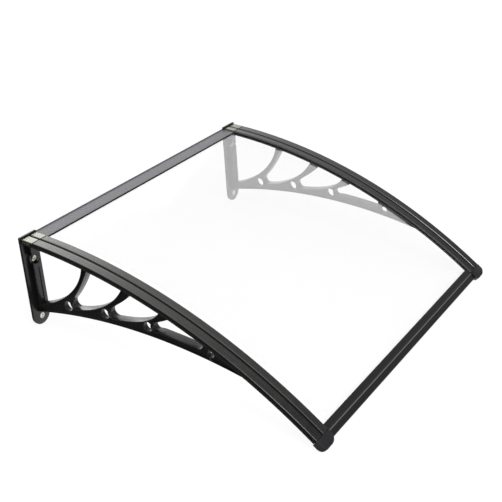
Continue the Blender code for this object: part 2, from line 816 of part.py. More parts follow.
def front_bar_outlines():
    """Side view of the front bar, and of the hollow in its nose."""
    wall = FRONT_NOSE_WALL
    low, top = LIP_UPPER
    ridge = RIDGE_AT - FRONT_RIDGE_WIDTH
    step = FRONT_RIDGE_WIDTH / 2
    front = (NOSE_END, top - FRONT_NOSE_TIP)
    heel = (NOSE_END - FRONT_NOSE_HEEL, NOSE_BOTTOM)
    outline = [
        (UPPER_LIP_AT, top),
        ((UPPER_LIP_AT + ridge - step) / 2, top),
        (ridge - step, top),
        (ridge, top + FRONT_RIDGE_RISE),
        (RIDGE_AT, top + FRONT_RIDGE_RISE),
        *bow((RIDGE_AT + FRONT_RIDGE_RISE, top), front, -35, -85, 8),
        *bow(front, heel, -95, -170, 4)[1:],
        (NOSE_START, NOSE_BOTTOM),
        (NOSE_START, LIP_LOWER[0]),
        (LOWER_LIP_AT, LIP_LOWER[0]),
        (LOWER_LIP_AT, LIP_LOWER[1]),
        (NOSE_START, LIP_LOWER[1]),
        (NOSE_START, low),
        ((UPPER_LIP_AT + NOSE_START) / 2, low),
        (UPPER_LIP_AT, low),
    ]
    hollow = [
        (NOSE_START + wall, NOSE_BOTTOM + wall),
        (heel[0] - wall / 2, NOSE_BOTTOM + wall),
        (front[0] - wall * 4 / 3, front[1] - wall / 5),
        (NOSE_START + (NOSE_END - NOSE_START) / 2, top - wall * 2),
        (NOSE_START + wall, top - wall),
    ]
    return side_view(outline), side_view(hollow)


def front_cap_outline():
    """Side view of a front cap."""
    nose = (CAP_END, CAP_TOP - CAP_NOSE_DROP)
    heel = (CAP_END - CAP_NOSE_DROP / 2, CAP_BOTTOM)
    return side_view(
        [
            (CAP_START, CAP_TOP),
            *bow((CAP_START + CAP_FLAT, CAP_TOP), nose, -22, -75, 6),
            *bow(nose, heel, -95, -165, 4)[1:],
            (CAP_START, CAP_BOTTOM),
        ]
    )


def front_cap_plan():
    """Half round outline of a front cap as seen along the sheet's normal, from the cap's rear edge forward."""
    radius = CAP_WIDTH / 2
    front = round_corner((0.0, radius - CAP_LENGTH), radius, 180, 360, 24)
    return [*front, (radius, CAP_LENGTH), (-radius, CAP_LENGTH)]


def cap_space_outline(end):
    """Side view of a space in a cap that is open to the rear."""
    behind = CAP_START - CAP_OVERLAP
    return side_view(
        [
            (behind, CAP_CAVITY_BOTTOM),
            (end, CAP_CAVITY_BOTTOM),
            (end, CAP_CAVITY_TOP),
            (behind, CAP_CAVITY_TOP),
        ]
    )


def side_block(name, outline, start, end, chamfer=0.0):
    """Mesh of a side view, from one place across the awning to another."""
    mesh = plate_mesh(name, outline, [], abs(end - start), chamfer)
    mesh.transform(Matrix.Translation(((start + end) / 2, 0.0, 0.0)) @ SIDE_VIEW)
    return mesh


def build_brackets(home, tools):
    """The two moulded brackets."""
    for side in SIDES:
        start = PLATE_THICKNESS / 2
        section = box_section(FLANGE_WIDTH, FLANGE_BOTTOM, FLANGE_TOP)
        mesh = swept_mesh("bracket", section, start, FLANGE_END)
        bracket = place(f"bracket_{side}", mesh, home, "bracket_plastic", side_shift(side))
        for name in ("wall_plate", "arm", "boss"):
            boolean(bracket, "UNION", tools[name, side])
        for name in ("pocket", "bolt_holes", "round_holes", "screw_holes"):
            boolean(bracket, "DIFFERENCE", tools[name, side])


def build_sheet(home, tools):
    """The clear sheet."""
    section = box_section(SHEET_WIDTH, SHEET_UNDERSIDE, 0.0)
    mesh = swept_mesh("sheet", section, SHEET_START, SHEET_END)
    sheet = place("sheet", mesh, home, "sheet_polycarbonate")
    for side in SIDES:
        boolean(sheet, "DIFFERENCE", tools["screw_holes", side])


def build_strips(home, tools):
    """The pressing strips, their covers at the wall, and the gaskets under them."""
    pieces = {
        "top_strip": ("strip_aluminium", strip_section(STRIP_WIDTH), STRIP_START, STRIP_END),
        "strip_cover": ("cover_aluminium", strip_section(STRIP_WIDTH), COVER_START, COVER_END),
        "upper_gasket": (
            "gasket_rubber",
            box_section(GASKET_WIDTH, *LIP_UPPER),
            REAR_UPPER_LIP + GAP,
            UPPER_LIP_AT - GAP,
        ),
        "lower_gasket": (
            "gasket_rubber",
            box_section(GASKET_WIDTH, *LIP_LOWER),
            REAR_LOWER_LIP + GAP,
            LOWER_LIP_AT - GAP,
        ),
    }
    for name, (finish, section, start, end) in pieces.items():
        steps = max(2, round(ARC_STEPS * (end - start) / SHEET_LENGTH))
        mesh = swept_mesh(name, section, start, end, steps)
        for side in SIDES:
            piece = place(f"{name}_{side}", mesh, home, finish, side_shift(side))
            boolean(piece, "DIFFERENCE", tools["screw_holes", side])


def build_rear_bar(home, helpers, tools):
    """The rear bar, notched for the wall plates, and the seal in its back."""
    mesh = plate_mesh("rear_bar", rear_bar_outline(), [], SHEET_WIDTH)
    mesh.transform(SIDE_VIEW)
    bar = place("rear_bar", mesh, home, "rear_bar_aluminium")
    inner = BRACKET_OFFSET - PLATE_WIDTH / 2 - GAP
    for side, sign in SIDES.items():
        ends = sorted((sign * inner, sign * SHEET_WIDTH))
        notch = box_mesh(
            f"plate_notch_{side}",
            (ends[0], -PLATE_THICKNESS - GAP, -REAR_BAR_BELOW * 2),
            (ends[1], CUT_BEYOND, REAR_BAR_ABOVE * 2),
        )
        boolean(bar, "DIFFERENCE", place(f"plate_notch_{side}", notch, helpers))
        boolean(bar, "DIFFERENCE", tools["screw_holes", side])
    half = SEAL_HEIGHT / 2
    seal = box_mesh("wall_seal", (-inner, -SEAL_DEPTH, -half), (inner, 0.0, half))
    place("wall_seal", seal, home, "seal_foam")


def cap_screw_frame(side):
    """Matrix of the screw in a cap."""
    across = SIDES[side] * (BRACKET_OFFSET + CAP_SCREW_INSET)
    return normal_frame(across, RIDGE_AT + CAP_SCREW_FROM_RIDGE, 0.0)


def build_front(home, helpers):
    """The front bar, its end caps and their screws."""
    outline, hollow = front_bar_outlines()
    mesh = plate_mesh("front_bar", outline, [hollow], SHEET_WIDTH)
    mesh.transform(SIDE_VIEW)
    bar = place("front_bar", mesh, home, "front_bar_aluminium")
    low = CAP_BOTTOM - CUT_BEYOND
    high = CAP_CAVITY_BOTTOM + CAP_SCREW_REACH
    nose_cut = NOSE_START + FRONT_END_CUT
    reach = BRACKET_OFFSET + CAP_NOSE_REACH
    inner = BRACKET_OFFSET - CAP_WIDTH
    over = CAP_TOP + CUT_BEYOND
    under = CAP_BOTTOM - CUT_BEYOND
    for side, sign in SIDES.items():
        rod = rod_mesh(f"cap_screw_hole_{side}", SCREW_SHANK / 2 + GAP, high + GAP - low, 8)
        rod.transform(Matrix.Translation((0.0, 0.0, (low + high + GAP) / 2)))
        hole = place(f"cap_screw_hole_{side}", rod, helpers, matrix=cap_screw_frame(side))
        beyond = side_view([(nose_cut, over), (nose_cut, under), (CAP_END, under), (CAP_END, over)])
        cut = side_block(f"nose_cut_{side}", beyond, sign * reach, sign * SHEET_WIDTH)
        boolean(bar, "DIFFERENCE", place(f"nose_cut_{side}", cut, helpers))
        boolean(bar, "DIFFERENCE", hole)
        name = f"front_cap_{side}"
        body = side_block(name, front_cap_outline(), sign * inner, sign * (inner + 2 * CAP_WIDTH))
        cap = place(name, body, home, "cap_plastic")
        plan = plate_mesh(f"cap_plan_{side}", front_cap_plan(), [], CAP_WIDTH)
        frame = normal_frame(sign * BRACKET_OFFSET, CAP_START, 0.0)
        boolean(cap, "INTERSECT", place(f"cap_plan_{side}", plan, helpers, matrix=frame))
        spaces = {
            f"cap_lip_space_{side}": (nose_cut + GAP, CAP_CAVITY_SIDE),
            f"cap_nose_space_{side}": (CAP_CAVITY_END, reach + GAP),
        }
        for space_name, (end, limit) in spaces.items():
            space = side_block(space_name, cap_space_outline(end), sign * inner, sign * limit)
            boolean(cap, "DIFFERENCE", place(space_name, space, helpers))
        boolean(cap, "DIFFERENCE", hole)
        screw = screw_mesh(f"cap_screw_{side}", CAP_BOTTOM - GAP, high)
        place(f"cap_screw_{side}", screw, home, "screw_steel", cap_screw_frame(side))


def build_screws(home):
    """The screws of the strips and their covers."""
    mesh = screw_mesh("strip_screw", FLANGE_BOTTOM - GAP, STRIP_TOP - SCREW_COVER - GAP)
    for side in SIDES:
        for station, along in enumerate(screw_places()):
            for wing, sign in {"a": -1, "b": 1}.items():
                matrix = side_shift(side) @ normal_frame(sign * SCREW_OFFSET, along, 0.0)
                place(f"strip_screw_{side}_{station}{wing}", mesh, home, "screw_steel", matrix)


def build():
    """Build the awning."""
    clear_scene()
    home = collection(OBJECT_NAME)
    helpers = collection("Cutters and joined shapes")
    tools = build_cutters(helpers)
    build_brackets(home, tools)
    build_sheet(home, tools)
    build_strips(home, tools)
    build_rear_bar(home, helpers, tools)
    build_front(home, helpers)
    build_screws(home)


build()
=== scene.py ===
"""Looks of a clear window awning: its finishes, its fine shapes, the light and the camera.

X runs along the wall, -Y points away from it and +Z is up. The wall is the plane Y = 0, and the
origin lies on it, at the middle of the rear bar. Sizes are in metres.
"""

import logging
import math
from dataclasses import dataclass, field
from enum import Enum
from typing import Any, Optional, Sequence

import bmesh
import bpy
from mathutils import Matrix, Vector

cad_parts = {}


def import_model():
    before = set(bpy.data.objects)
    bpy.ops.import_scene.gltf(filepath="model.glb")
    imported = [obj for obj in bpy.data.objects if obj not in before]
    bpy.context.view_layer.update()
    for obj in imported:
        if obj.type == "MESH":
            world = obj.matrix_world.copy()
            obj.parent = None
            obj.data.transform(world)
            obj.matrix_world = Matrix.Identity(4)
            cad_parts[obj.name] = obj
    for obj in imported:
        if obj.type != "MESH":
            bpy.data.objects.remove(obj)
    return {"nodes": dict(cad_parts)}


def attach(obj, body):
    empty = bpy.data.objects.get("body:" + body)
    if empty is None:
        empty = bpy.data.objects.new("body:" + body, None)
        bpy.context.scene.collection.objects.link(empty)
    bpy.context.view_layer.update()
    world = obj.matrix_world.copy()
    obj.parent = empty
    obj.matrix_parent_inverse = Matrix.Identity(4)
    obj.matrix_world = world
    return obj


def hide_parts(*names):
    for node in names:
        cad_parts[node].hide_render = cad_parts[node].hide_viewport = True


LOG = logging.getLogger("awning")

Point = tuple[float, float]
Place = tuple[float, float, float]

BODY = "root"
WHITE = "#ffffff"
MM = 0.001

# Vertices nearer to each other than this are one.
WELD = 0.00001
# Turns in degrees: a corner of an outline, an edge that stays sharp, and an edge that is rounded.
CORNER = 25.0
SHARP = 32.0
ROUNDED = 35.0
# Steps of a rounded edge, and the share of a short edge that a rounding may take.
EDGE_STEPS = 3
EDGE_SHARE = 0.45
# Share that limits how far the sharp corner of a moved path reaches.
LEAST_REACH = 0.6
# Most sides of a slit that is filled, steps of a hollow rib, and steps of a turned edge.
SLIT_SIDES = 8
RIB_STEPS = 8
TURNED_STEPS = 4

# Views that are stood upright: one from the side, by distance from the wall and height, and one
# of the wall.
SIDE_VIEW = Matrix(((0, 0, -1, 0), (-1, 0, 0, 0), (0, 1, 0, 0), (0, 0, 0, 1)))
WALL_VIEW = Matrix(((1, 0, 0, 0), (0, 0, -1, 0), (0, 1, 0, 0), (0, 0, 0, 1)))


class Side(Enum):
    """End of the awning, by its sign along X."""

    LEFT = -1
    RIGHT = 1

    @property
    def word(self) -> str:
        """Word used in piece names."""
        return self.name.lower()


class Join(Enum):
    """Way in which one shape is combined with another."""

    UNION = "UNION"
    DIFFERENCE = "DIFFERENCE"
    INTERSECT = "INTERSECT"


class Run(Enum):
    """Direction in which an extruded piece was drawn, as a scale for each axis of its die lines."""

    ALONG_WALL = (0.004, 1.0, 1.0)
    AWAY_FROM_WALL = (1.0, 0.004, 0.004)


@dataclass(frozen=True)
class SheetArc:
    """Arc of the clear sheet's upper face. Every long piece follows it.

    Places along it are measured from the wall, and heights along its normal.
    """

    radius: float = 1.588
    slope_at_wall: float = math.radians(3.44)
    height_at_wall: float = 0.0083

    @property
    def centre(self) -> Point:
        """Distance from the wall and height of the arc's centre."""
        return (
            -self.radius * math.sin(self.slope_at_wall),
            self.height_at_wall - self.radius * math.cos(self.slope_at_wall),
        )

    def point(self, along: float, above: float) -> Point:
        """Find a point near the sheet.

        Args:
            along: Length along the arc from the wall.
            above: Height above the sheet's upper face.

        Returns:
            The point's distance from the wall and its height.
        """
        angle = self.slope_at_wall + along / self.radius
        reach = self.radius + above
        return (self.centre[0] + reach * math.sin(angle), self.centre[1] + reach * math.cos(angle))

    def run(self, start: float, end: float, above: float, steps: int) -> list[Point]:
        """Points at one height above the sheet, from one place along its arc to another."""
        return [self.point(at, above) for at in spaced(start, end, steps)]

    def outline(self, places: Sequence[Point]) -> list[Point]:
        """Side view of a piece whose places are given along the sheet and above it."""
        return [self.point(*place) for place in places]

    def height(self, distance: float, above: float) -> float:
        """Height of a surface that follows the sheet, at a distance from the wall."""
        reach = distance - self.centre[0]
        return self.centre[1] + math.sqrt((self.radius + above) ** 2 - reach**2)

    def frame(self, across: float, along: float, above: float) -> Matrix:
        """Matrix of a place near the sheet, its own Z along the sheet's normal."""
        distance, height = self.point(along, above)
        angle = self.slope_at_wall + along / self.radius
        return Matrix.Translation((across, -distance, height)) @ Matrix.Rotation(angle, 4, "X")


@dataclass
class Layout:
    """Sizes that neighbouring pieces share, and the heights and places that follow from them."""

    gap: float = 0.0003
    sheet_width: float = 0.991
    sheet_length: float = 0.948
    sheet_thickness: float = 0.003
    edge_cover: float = 0.001
    strip_width: float = 0.053
    strip_thickness: float = 0.0034
    gasket: float = 0.0012
    plate_thickness: float = 0.007
    plate_width: float = 0.062
    flange_thickness: float = 0.0045
    rear_upper_lip: float = 0.0455
    rear_lower_lip: float = 0.034
    front_upper_lip: float = 0.0198
    front_lower_lip: float = 0.014
    cap_overlap: float = 0.004
    nose_length: float = 0.018
    nose_depth: float = 0.0105
    ridge_rise: float = 0.0008
    ridge_margin: float = 0.001
    sheet_gaps: int = 5
    cover_gaps: int = 3
    upper: Point = field(init=False)
    lower: Point = field(init=False)

    def __post_init__(self) -> None:
        """Work out the heights and places that follow from the sizes."""
        self.strip_underside = self.gasket + 2 * self.gap
        self.strip_top = self.strip_underside + self.strip_thickness
        self.upper = (self.gap, self.gap + self.gasket)
        under = -self.sheet_thickness - self.gap
        self.lower = (under - self.gasket, under)
        self.flange_top = -self.sheet_thickness - self.gasket - 2 * self.gap
        self.flange_bottom = self.flange_top - self.flange_thickness
        self.bracket_at = self.sheet_width / 2 + self.edge_cover - self.strip_width / 2
        self.sheet_start = self.plate_thickness + self.sheet_gaps * self.gap
        self.sheet_end = self.sheet_start + self.sheet_length
        self.ridge_at = self.sheet_end - self.ridge_margin
        self.upper_lip_at = self.ridge_at - self.front_upper_lip
        self.lower_lip_at = self.ridge_at - self.front_lower_lip
        self.cover_start = self.plate_thickness + self.cover_gaps * self.gap
        self.cover_end = self.rear_upper_lip + self.gap
        self.strip_start = self.cover_end + self.gap
        self.strip_end = self.ridge_at - self.cap_overlap
        self.flange_end = self.strip_end - self.gap
        self.nose_start = self.sheet_end + 2 * self.gap
        self.nose_end = self.ridge_at + self.nose_length
        self.nose_bottom = self.upper[1] - self.nose_depth


ARC = SheetArc()
PLAN = Layout()


def spaced(start: float, end: float, steps: int) -> list[float]:
    """Evenly spaced values from a start to an end, both included."""
    return [start + (end - start) * i / steps for i in range(steps + 1)]


def beside(side: Side) -> Matrix:
    """Matrix that carries a shape from the middle to one bracket."""
    return Matrix.Translation((side.value * PLAN.bracket_at, 0.0, 0.0))


def from_side(across: float = 0.0) -> Matrix:
    """Matrix that stands a side view upright, at a place along the wall."""
    return Matrix.Translation((across, 0.0, 0.0)) @ SIDE_VIEW


def from_wall(distance: float, across: float = 0.0) -> Matrix:
    """Matrix that stands a view of the wall upright, at a distance from the wall."""
    return Matrix.Translation((across, -distance, 0.0)) @ WALL_VIEW


def linear(colour: str) -> tuple[float, float, float, float]:
    """Turn an sRGB hex colour such as "#a0b0c0" into linear values with full alpha."""
    parts = [int(colour[i : i + 2], 16) / 255 for i in (1, 3, 5)]
    made = [part / 12.92 if part <= 0.04045 else ((part + 0.055) / 1.055) ** 2.4 for part in parts]
    return (made[0], made[1], made[2], 1.0)


def add_node(
    tree: bpy.types.NodeTree,
    kind: str,
    values: Optional[dict[Any, Any]] = None,
    links: Optional[dict[Any, bpy.types.NodeSocket]] = None,
    **settings: Any,
) -> bpy.types.Node:
    """Add a node with its settings and links.

    Args:
        tree: Node tree that takes the node.
        kind: Type of the node.
        values: Values of its inputs, by name or number.
        links: Outputs of other nodes that feed its inputs, by name or number.
        settings: Properties of the node.

    Returns:
        The new node.
    """
    node = tree.nodes.new(kind)
    for name, value in settings.items():
        setattr(node, name, value)
    for name, value in (values or {}).items():
        node.inputs[name].default_value = value
    for name, source in (links or {}).items():
        tree.links.new(source, node.inputs[name])
    return node


def blank_tree(owner: Any) -> bpy.types.NodeTree:
    """Empty node tree of a material or a world."""
    owner.use_nodes = True
    owner.node_tree.nodes.clear()
    return owner.node_tree


def put(name: str, data: Any, place: Optional[Matrix] = None) -> bpy.types.Object:
    """Add an object to the scene, at its place where it has one."""
    made = bpy.data.objects.new(name, data)
    bpy.context.scene.collection.objects.link(made)
    if place is not None:
        made.matrix_world = place
    return made


def bow(start: Point, end: Point, leaving: float, arriving: float, steps: int) -> list[Point]:
    """Points of a smooth curve that leaves its start and reaches its end at slopes in degrees."""
    first = Vector(start)
    last = Vector(end)
    reach = (last - first).length / 3
    turns = (math.radians(leaving), math.radians(arriving))
    leave, arrive = (reach * Vector((math.cos(turn), math.sin(turn))) for turn in turns)
    out = first + leave
    back = last - arrive
    points = []
    for t in spaced(0, 1, steps):
        mixed = (1 - t) ** 3 * first + 3 * t * (1 - t) ** 2 * out
        mixed = mixed + 3 * t**2 * (1 - t) * back + t**3 * last
        points.append((mixed.x, mixed.y))
    return points


def round_corner(centre: Point, radius: float, start: float, end: float, steps: int) -> list[Point]:
    """Points of a round corner between two angles in degrees."""
    turns = [math.radians(turn) for turn in spaced(start, end, steps)]
    return [(centre[0] + radius * math.cos(t), centre[1] + radius * math.sin(t)) for t in turns]


def signed_area(points: Sequence[Point]) -> float:
    """Area inside an outline, positive where it runs anticlockwise."""
    pairs = zip(points, [*points[1:], points[0]])
    return sum(a[0] * b[1] - b[0] * a[1] for a, b in pairs) / 2


def eased(outline: Sequence[Point], radius: float, steps: int = EDGE_STEPS) -> list[Point]:
    """Round the corners of an outline, as a die or a mould leaves them.

    Args:
        outline: Closed outline.
        radius: Length of edge that each rounding takes, less where an edge is short.
        steps: Steps of each rounding.

    Returns:
        The outline with round corners.
    """
    made: list[Point] = []
    for index, place in enumerate(outline):
        here = Vector(place)
        back = Vector(outline[index - 1]) - here
        ahead = Vector(outline[(index + 1) % len(outline)]) - here
        if back.length == 0 or ahead.length == 0 or math.degrees(back.angle(-ahead)) < CORNER:
            made.append((here.x, here.y))
            continue
        start = here + back.normalized() * min(radius, back.length * EDGE_SHARE)
        end = here + ahead.normalized() * min(radius, ahead.length * EDGE_SHARE)
        for t in spaced(0, 1, steps):
            mixed = (1 - t) ** 2 * start + 2 * t * (1 - t) * here + t**2 * end
            made.append((mixed.x, mixed.y))
    return made


def moved(path: Sequence[Point], distance: float, closed: bool) -> list[Point]:
    """Move a path sideways, to the right of its direction.

    Args:
        path: Points of the path.
        distance: How far it moves.
        closed: Whether the path is a closed outline.

    Returns:
        The moved path.
    """
    before = [path[-1] if closed else path[0], *path[:-1]]
    after = [*path[1:], path[0] if closed else path[-1]]
    made: list[Point] = []
    for left, here, right in zip(before, path, after):
        normal = Vector((0.0, 0.0))
        for start, end in ((left, here), (here, right)):
            if start != end:
                step = Vector(end) - Vector(start)
                normal += Vector((step.y, -step.x)).normalized()
        sides = 2 if left != here != right else 1
        reach = distance / max(normal.length / sides, LEAST_REACH)
        spot = Vector(here) + normal.normalized() * reach
        made.append((spot.x, spot.y))
    return made


def grown(outline: Sequence[Point], distance: float) -> list[Point]:
    """Closed outline moved outwards."""
    ordered = outline if signed_area(outline) > 0 else outline[::-1]
    return moved(ordered, distance, True)


def smooth_mesh(name: str, bm: bmesh.types.BMesh) -> bpy.types.Mesh:
    """Turn a bmesh into a mesh with outward normals, smooth but for its sharp edges."""
    bmesh.ops.remove_doubles(bm, verts=bm.verts, dist=WELD)
    bmesh.ops.recalc_face_normals(bm, faces=bm.faces)
    mesh = bpy.data.meshes.new(name)
    bm.to_mesh(mesh)
    bm.free()
    return shaded(mesh)


def shaded(mesh: bpy.types.Mesh) -> bpy.types.Mesh:
    """Shade a mesh smooth but for its sharp edges."""
    mesh.shade_smooth()
    mesh.set_sharp_from_angle(angle=math.radians(SHARP))
    return mesh


def plate_mesh(
    name: str,
    outline: Sequence[Point],
    depth: float,
    place: Matrix,
    edge: float = 0.0,
    steps: int = 1,
    holes: Sequence[Sequence[Point]] = (),
) -> bpy.types.Mesh:
    """Make a flat plate with holes and rounded edges.

    Args:
        name: Name of the mesh.
        outline: Closed outline.
        depth: Thickness.
        place: Place of the plate, whose middle lies on the plane of its outline.
        edge: Radius of its edges.
        steps: Steps of the rounding of its edges.
        holes: Outlines of its holes.

    Returns:
        The plate in its place.
    """
    curve = bpy.data.curves.new(name, "CURVE")
    curve.dimensions = "2D"
    curve.fill_mode = "BOTH"
    curve.extrude = depth / 2 - edge
    curve.bevel_depth = edge
    curve.bevel_resolution = steps - 1
    curve.offset = -edge
    for index, loop in enumerate([outline, *holes]):
        ordered = loop if (signed_area(loop) > 0) == (index == 0) else loop[::-1]
        spline = curve.splines.new("POLY")
        spline.points.add(len(ordered) - 1)
        for point, (x, y) in zip(spline.points, ordered):
            point.co = (x, y, 0.0, 1.0)
        spline.use_cyclic_u = True
    carrier = put(name, curve)
    graph = bpy.context.evaluated_depsgraph_get()
    raw = bpy.data.meshes.new_from_object(carrier.evaluated_get(graph))
    bpy.data.objects.remove(carrier, do_unlink=True)
    bm = bmesh.new()
    bm.from_mesh(raw)
    made = smooth_mesh(name, bm)
    made.transform(place)
    return made


def tapered(section: Sequence[Point], by: float) -> list[Point]:
    """Section drawn in at its sides and its top, as at a deburred end."""
    low = min(above for _, above in section)
    high = max(above for _, above in section)
    half = max(abs(across) for across, _ in section)
    across_scale = (half - by) / half
    above_scale = (high - low - by) / (high - low)
    return [(across * across_scale, low + (above - low) * above_scale) for across, above in section]


def skin(bm: bmesh.types.BMesh, rows: Sequence[Sequence[bmesh.types.BMVert]]) -> None:
    """Faces between each row of vertices and the next."""
    for back, front in zip(rows, rows[1:]):
        for i in range(len(back) - 1):
            bm.faces.new((back[i], back[i + 1], front[i + 1], front[i]))


def swept_mesh(
    name: str, section: Sequence[Point], start: float, end: float, steps: int, deburr: float = 0.0
) -> bpy.types.Mesh:
    """Sweep a section along the sheet's arc.

    Args:
        name: Name of the mesh.
        section: Places across the sweep and above the sheet.
        start: Place along the arc where the sweep starts.
        end: Place where it ends.
        steps: Steps between them.
        deburr: Size of the small slope around both ends.

    Returns:
        The closed sweep.
    """
    stations = [(along, section) for along in spaced(start, end, steps)]
    if deburr:
        small = tapered(section, deburr)
        first = [(start, small), (start + deburr, section)]
        last = [(end - deburr, section), (end, small)]
        stations = [*first, *stations[1:-1], *last]
    bm = bmesh.new()
    rings = []
    for along, shape in stations:
        ring = []
        for across, above in shape:
            distance, height = ARC.point(along, above)
            ring.append(bm.verts.new((across, -distance, height)))
        rings.append(ring)
    skin(bm, [[*ring, ring[0]] for ring in rings])
    bm.faces.new(rings[0])
    bm.faces.new(rings[-1][::-1])
    return smooth_mesh(name, bm)


def turned_mesh(name: str, profile: Sequence[Point], steps: int) -> bpy.types.Mesh:
    """Turn a profile, given as radius and height, about its own Z."""
    bm = bmesh.new()
    rows = []
    for turn in spaced(0, 2 * math.pi, steps)[:-1]:
        across, aside = math.cos(turn), math.sin(turn)
        rows.append([bm.verts.new((out * across, out * aside, height)) for out, height in profile])
    skin(bm, [*rows, rows[0]])
    return smooth_mesh(name, bm)


def rod_profile(radius: float, start: float, end: float, edge: float = 0.0) -> list[Point]:
    """Profile of a rod, its far edge rounded."""
    if not edge:
        return [(0.0, start), (radius, start), (radius, end), (0.0, end)]
    corner = round_corner((radius - edge, end - edge), edge, 0, 90, TURNED_STEPS)
    return [(0.0, start), (radius, start), *corner, (0.0, end)]


def ribbed(start: float, end: float, top: float, count: int, depth: float) -> list[Point]:
    """Hollow ribs that a die leaves in a flat top face.

    Args:
        start: Place where the first rib starts.
        end: Place where the last one ends.
        top: Height of the crests between the ribs.
        count: Number of ribs.
        depth: Depth of each hollow.

    Returns:
        Points of the face, but for the last one.
    """
    places = spaced(start, end, count * RIB_STEPS)[:-1]
    turns = [2 * math.pi * i / RIB_STEPS for i in range(len(places))]
    return [(place, top - depth * (1 - math.cos(turn)) / 2) for place, turn in zip(places, turns)]


def mirrored(section: Sequence[Point], side: Side) -> list[Point]:
    """Section, drawn for the right side, as the given side has it."""
    return [(across * side.value, above) for across, above in section]


def box_outline(width: float, low: float, high: float) -> list[Point]:
    """Plain rectangular section."""
    half = width / 2
    return [(-half, low), (half, low), (half, high), (-half, high)]


def closed(mesh: bpy.types.Mesh) -> bpy.types.Mesh:
    """Fill the hair slits that a join can leave in a mesh."""
    bm = bmesh.new()
    bm.from_mesh(mesh)
    slits = [edge for edge in bm.edges if edge.is_boundary]
    bmesh.ops.holes_fill(bm, edges=slits, sides=SLIT_SIDES)
    bm.to_mesh(mesh)
    bm.free()
    return mesh


def combined(
    name: str,
    base: bpy.types.Mesh,
    steps: dict[Join, Sequence[bpy.types.Mesh]],
    edge: float = 0.0,
    flat: bool = False,
) -> bpy.types.Mesh:
    """Join shapes to a mesh and cut others away.

    Args:
        name: Name of the result.
        base: Mesh to start from.
        steps: Other meshes, by what is done with them, in order.
        edge: Radius to which the edges are rounded in the end.
        flat: Whether the faces are split into triangles, which stay flat in a later step.

    Returns:
        The combined mesh.
    """
    work = put(name, base)
    helpers = []
    for join, meshes in steps.items():
        for mesh in meshes:
            helpers.append(put(mesh.name, mesh))
            modifier = work.modifiers.new(mesh.name, "BOOLEAN")
            modifier.operation = join.value
            modifier.object = helpers[-1]
            modifier.solver = "EXACT"
    if edge:
        bevel = work.modifiers.new("Edges", "BEVEL")
        bevel.width = edge
        bevel.segments = EDGE_STEPS
        bevel.limit_method = "ANGLE"
        bevel.angle_limit = math.radians(ROUNDED)
        bevel.use_clamp_overlap = True
    if flat:
        work.modifiers.new("Flat faces", "TRIANGULATE")
    graph = bpy.context.evaluated_depsgraph_get()
    made = bpy.data.meshes.new_from_object(work.evaluated_get(graph))
    made.name = name
    for obj in [work, *helpers]:
        bpy.data.objects.remove(obj, do_unlink=True)
    return shaded(closed(made))


def joined(name: str, meshes: Sequence[bpy.types.Mesh]) -> bpy.types.Mesh:
    """One mesh of several that stay apart from each other."""
    bm = bmesh.new()
    for mesh in meshes:
        bm.from_mesh(mesh)
    return smooth_mesh(name, bm)


def shifted(mesh: bpy.types.Mesh, name: str, matrix: Matrix) -> bpy.types.Mesh:
    """Moved copy of a mesh."""
    made = mesh.copy()
    made.name = name
    made.transform(matrix)
    return made


class Marks(Enum):
    """Kind of marks in a finish: the node that draws them, its output and the range it fills."""

    CLOUDS = ("ShaderNodeTexNoise", "Fac", 0.3, 0.7)
    CELLS = ("ShaderNodeTexVoronoi", "Distance", 0.0, 1.0)


@dataclass(frozen=True)
class Layer:
    """One layer of marks in a finish, and what it changes where it is weak and where it is strong.

    The size of a mark is in millimetres. A stretch is a scale for each axis. The relief is given
    by its strength and its height in millimetres, and the dulling by what it adds to the
    roughness.
    """

    size: float
    detail: float = 2.0
    crispness: float = 0.5
    stretch: Place = (1.0, 1.0, 1.0)
    marks: Marks = Marks.CLOUDS
    tints: Optional[tuple[str, str]] = None
    dulling: Optional[Point] = None
    relief: Optional[Point] = None


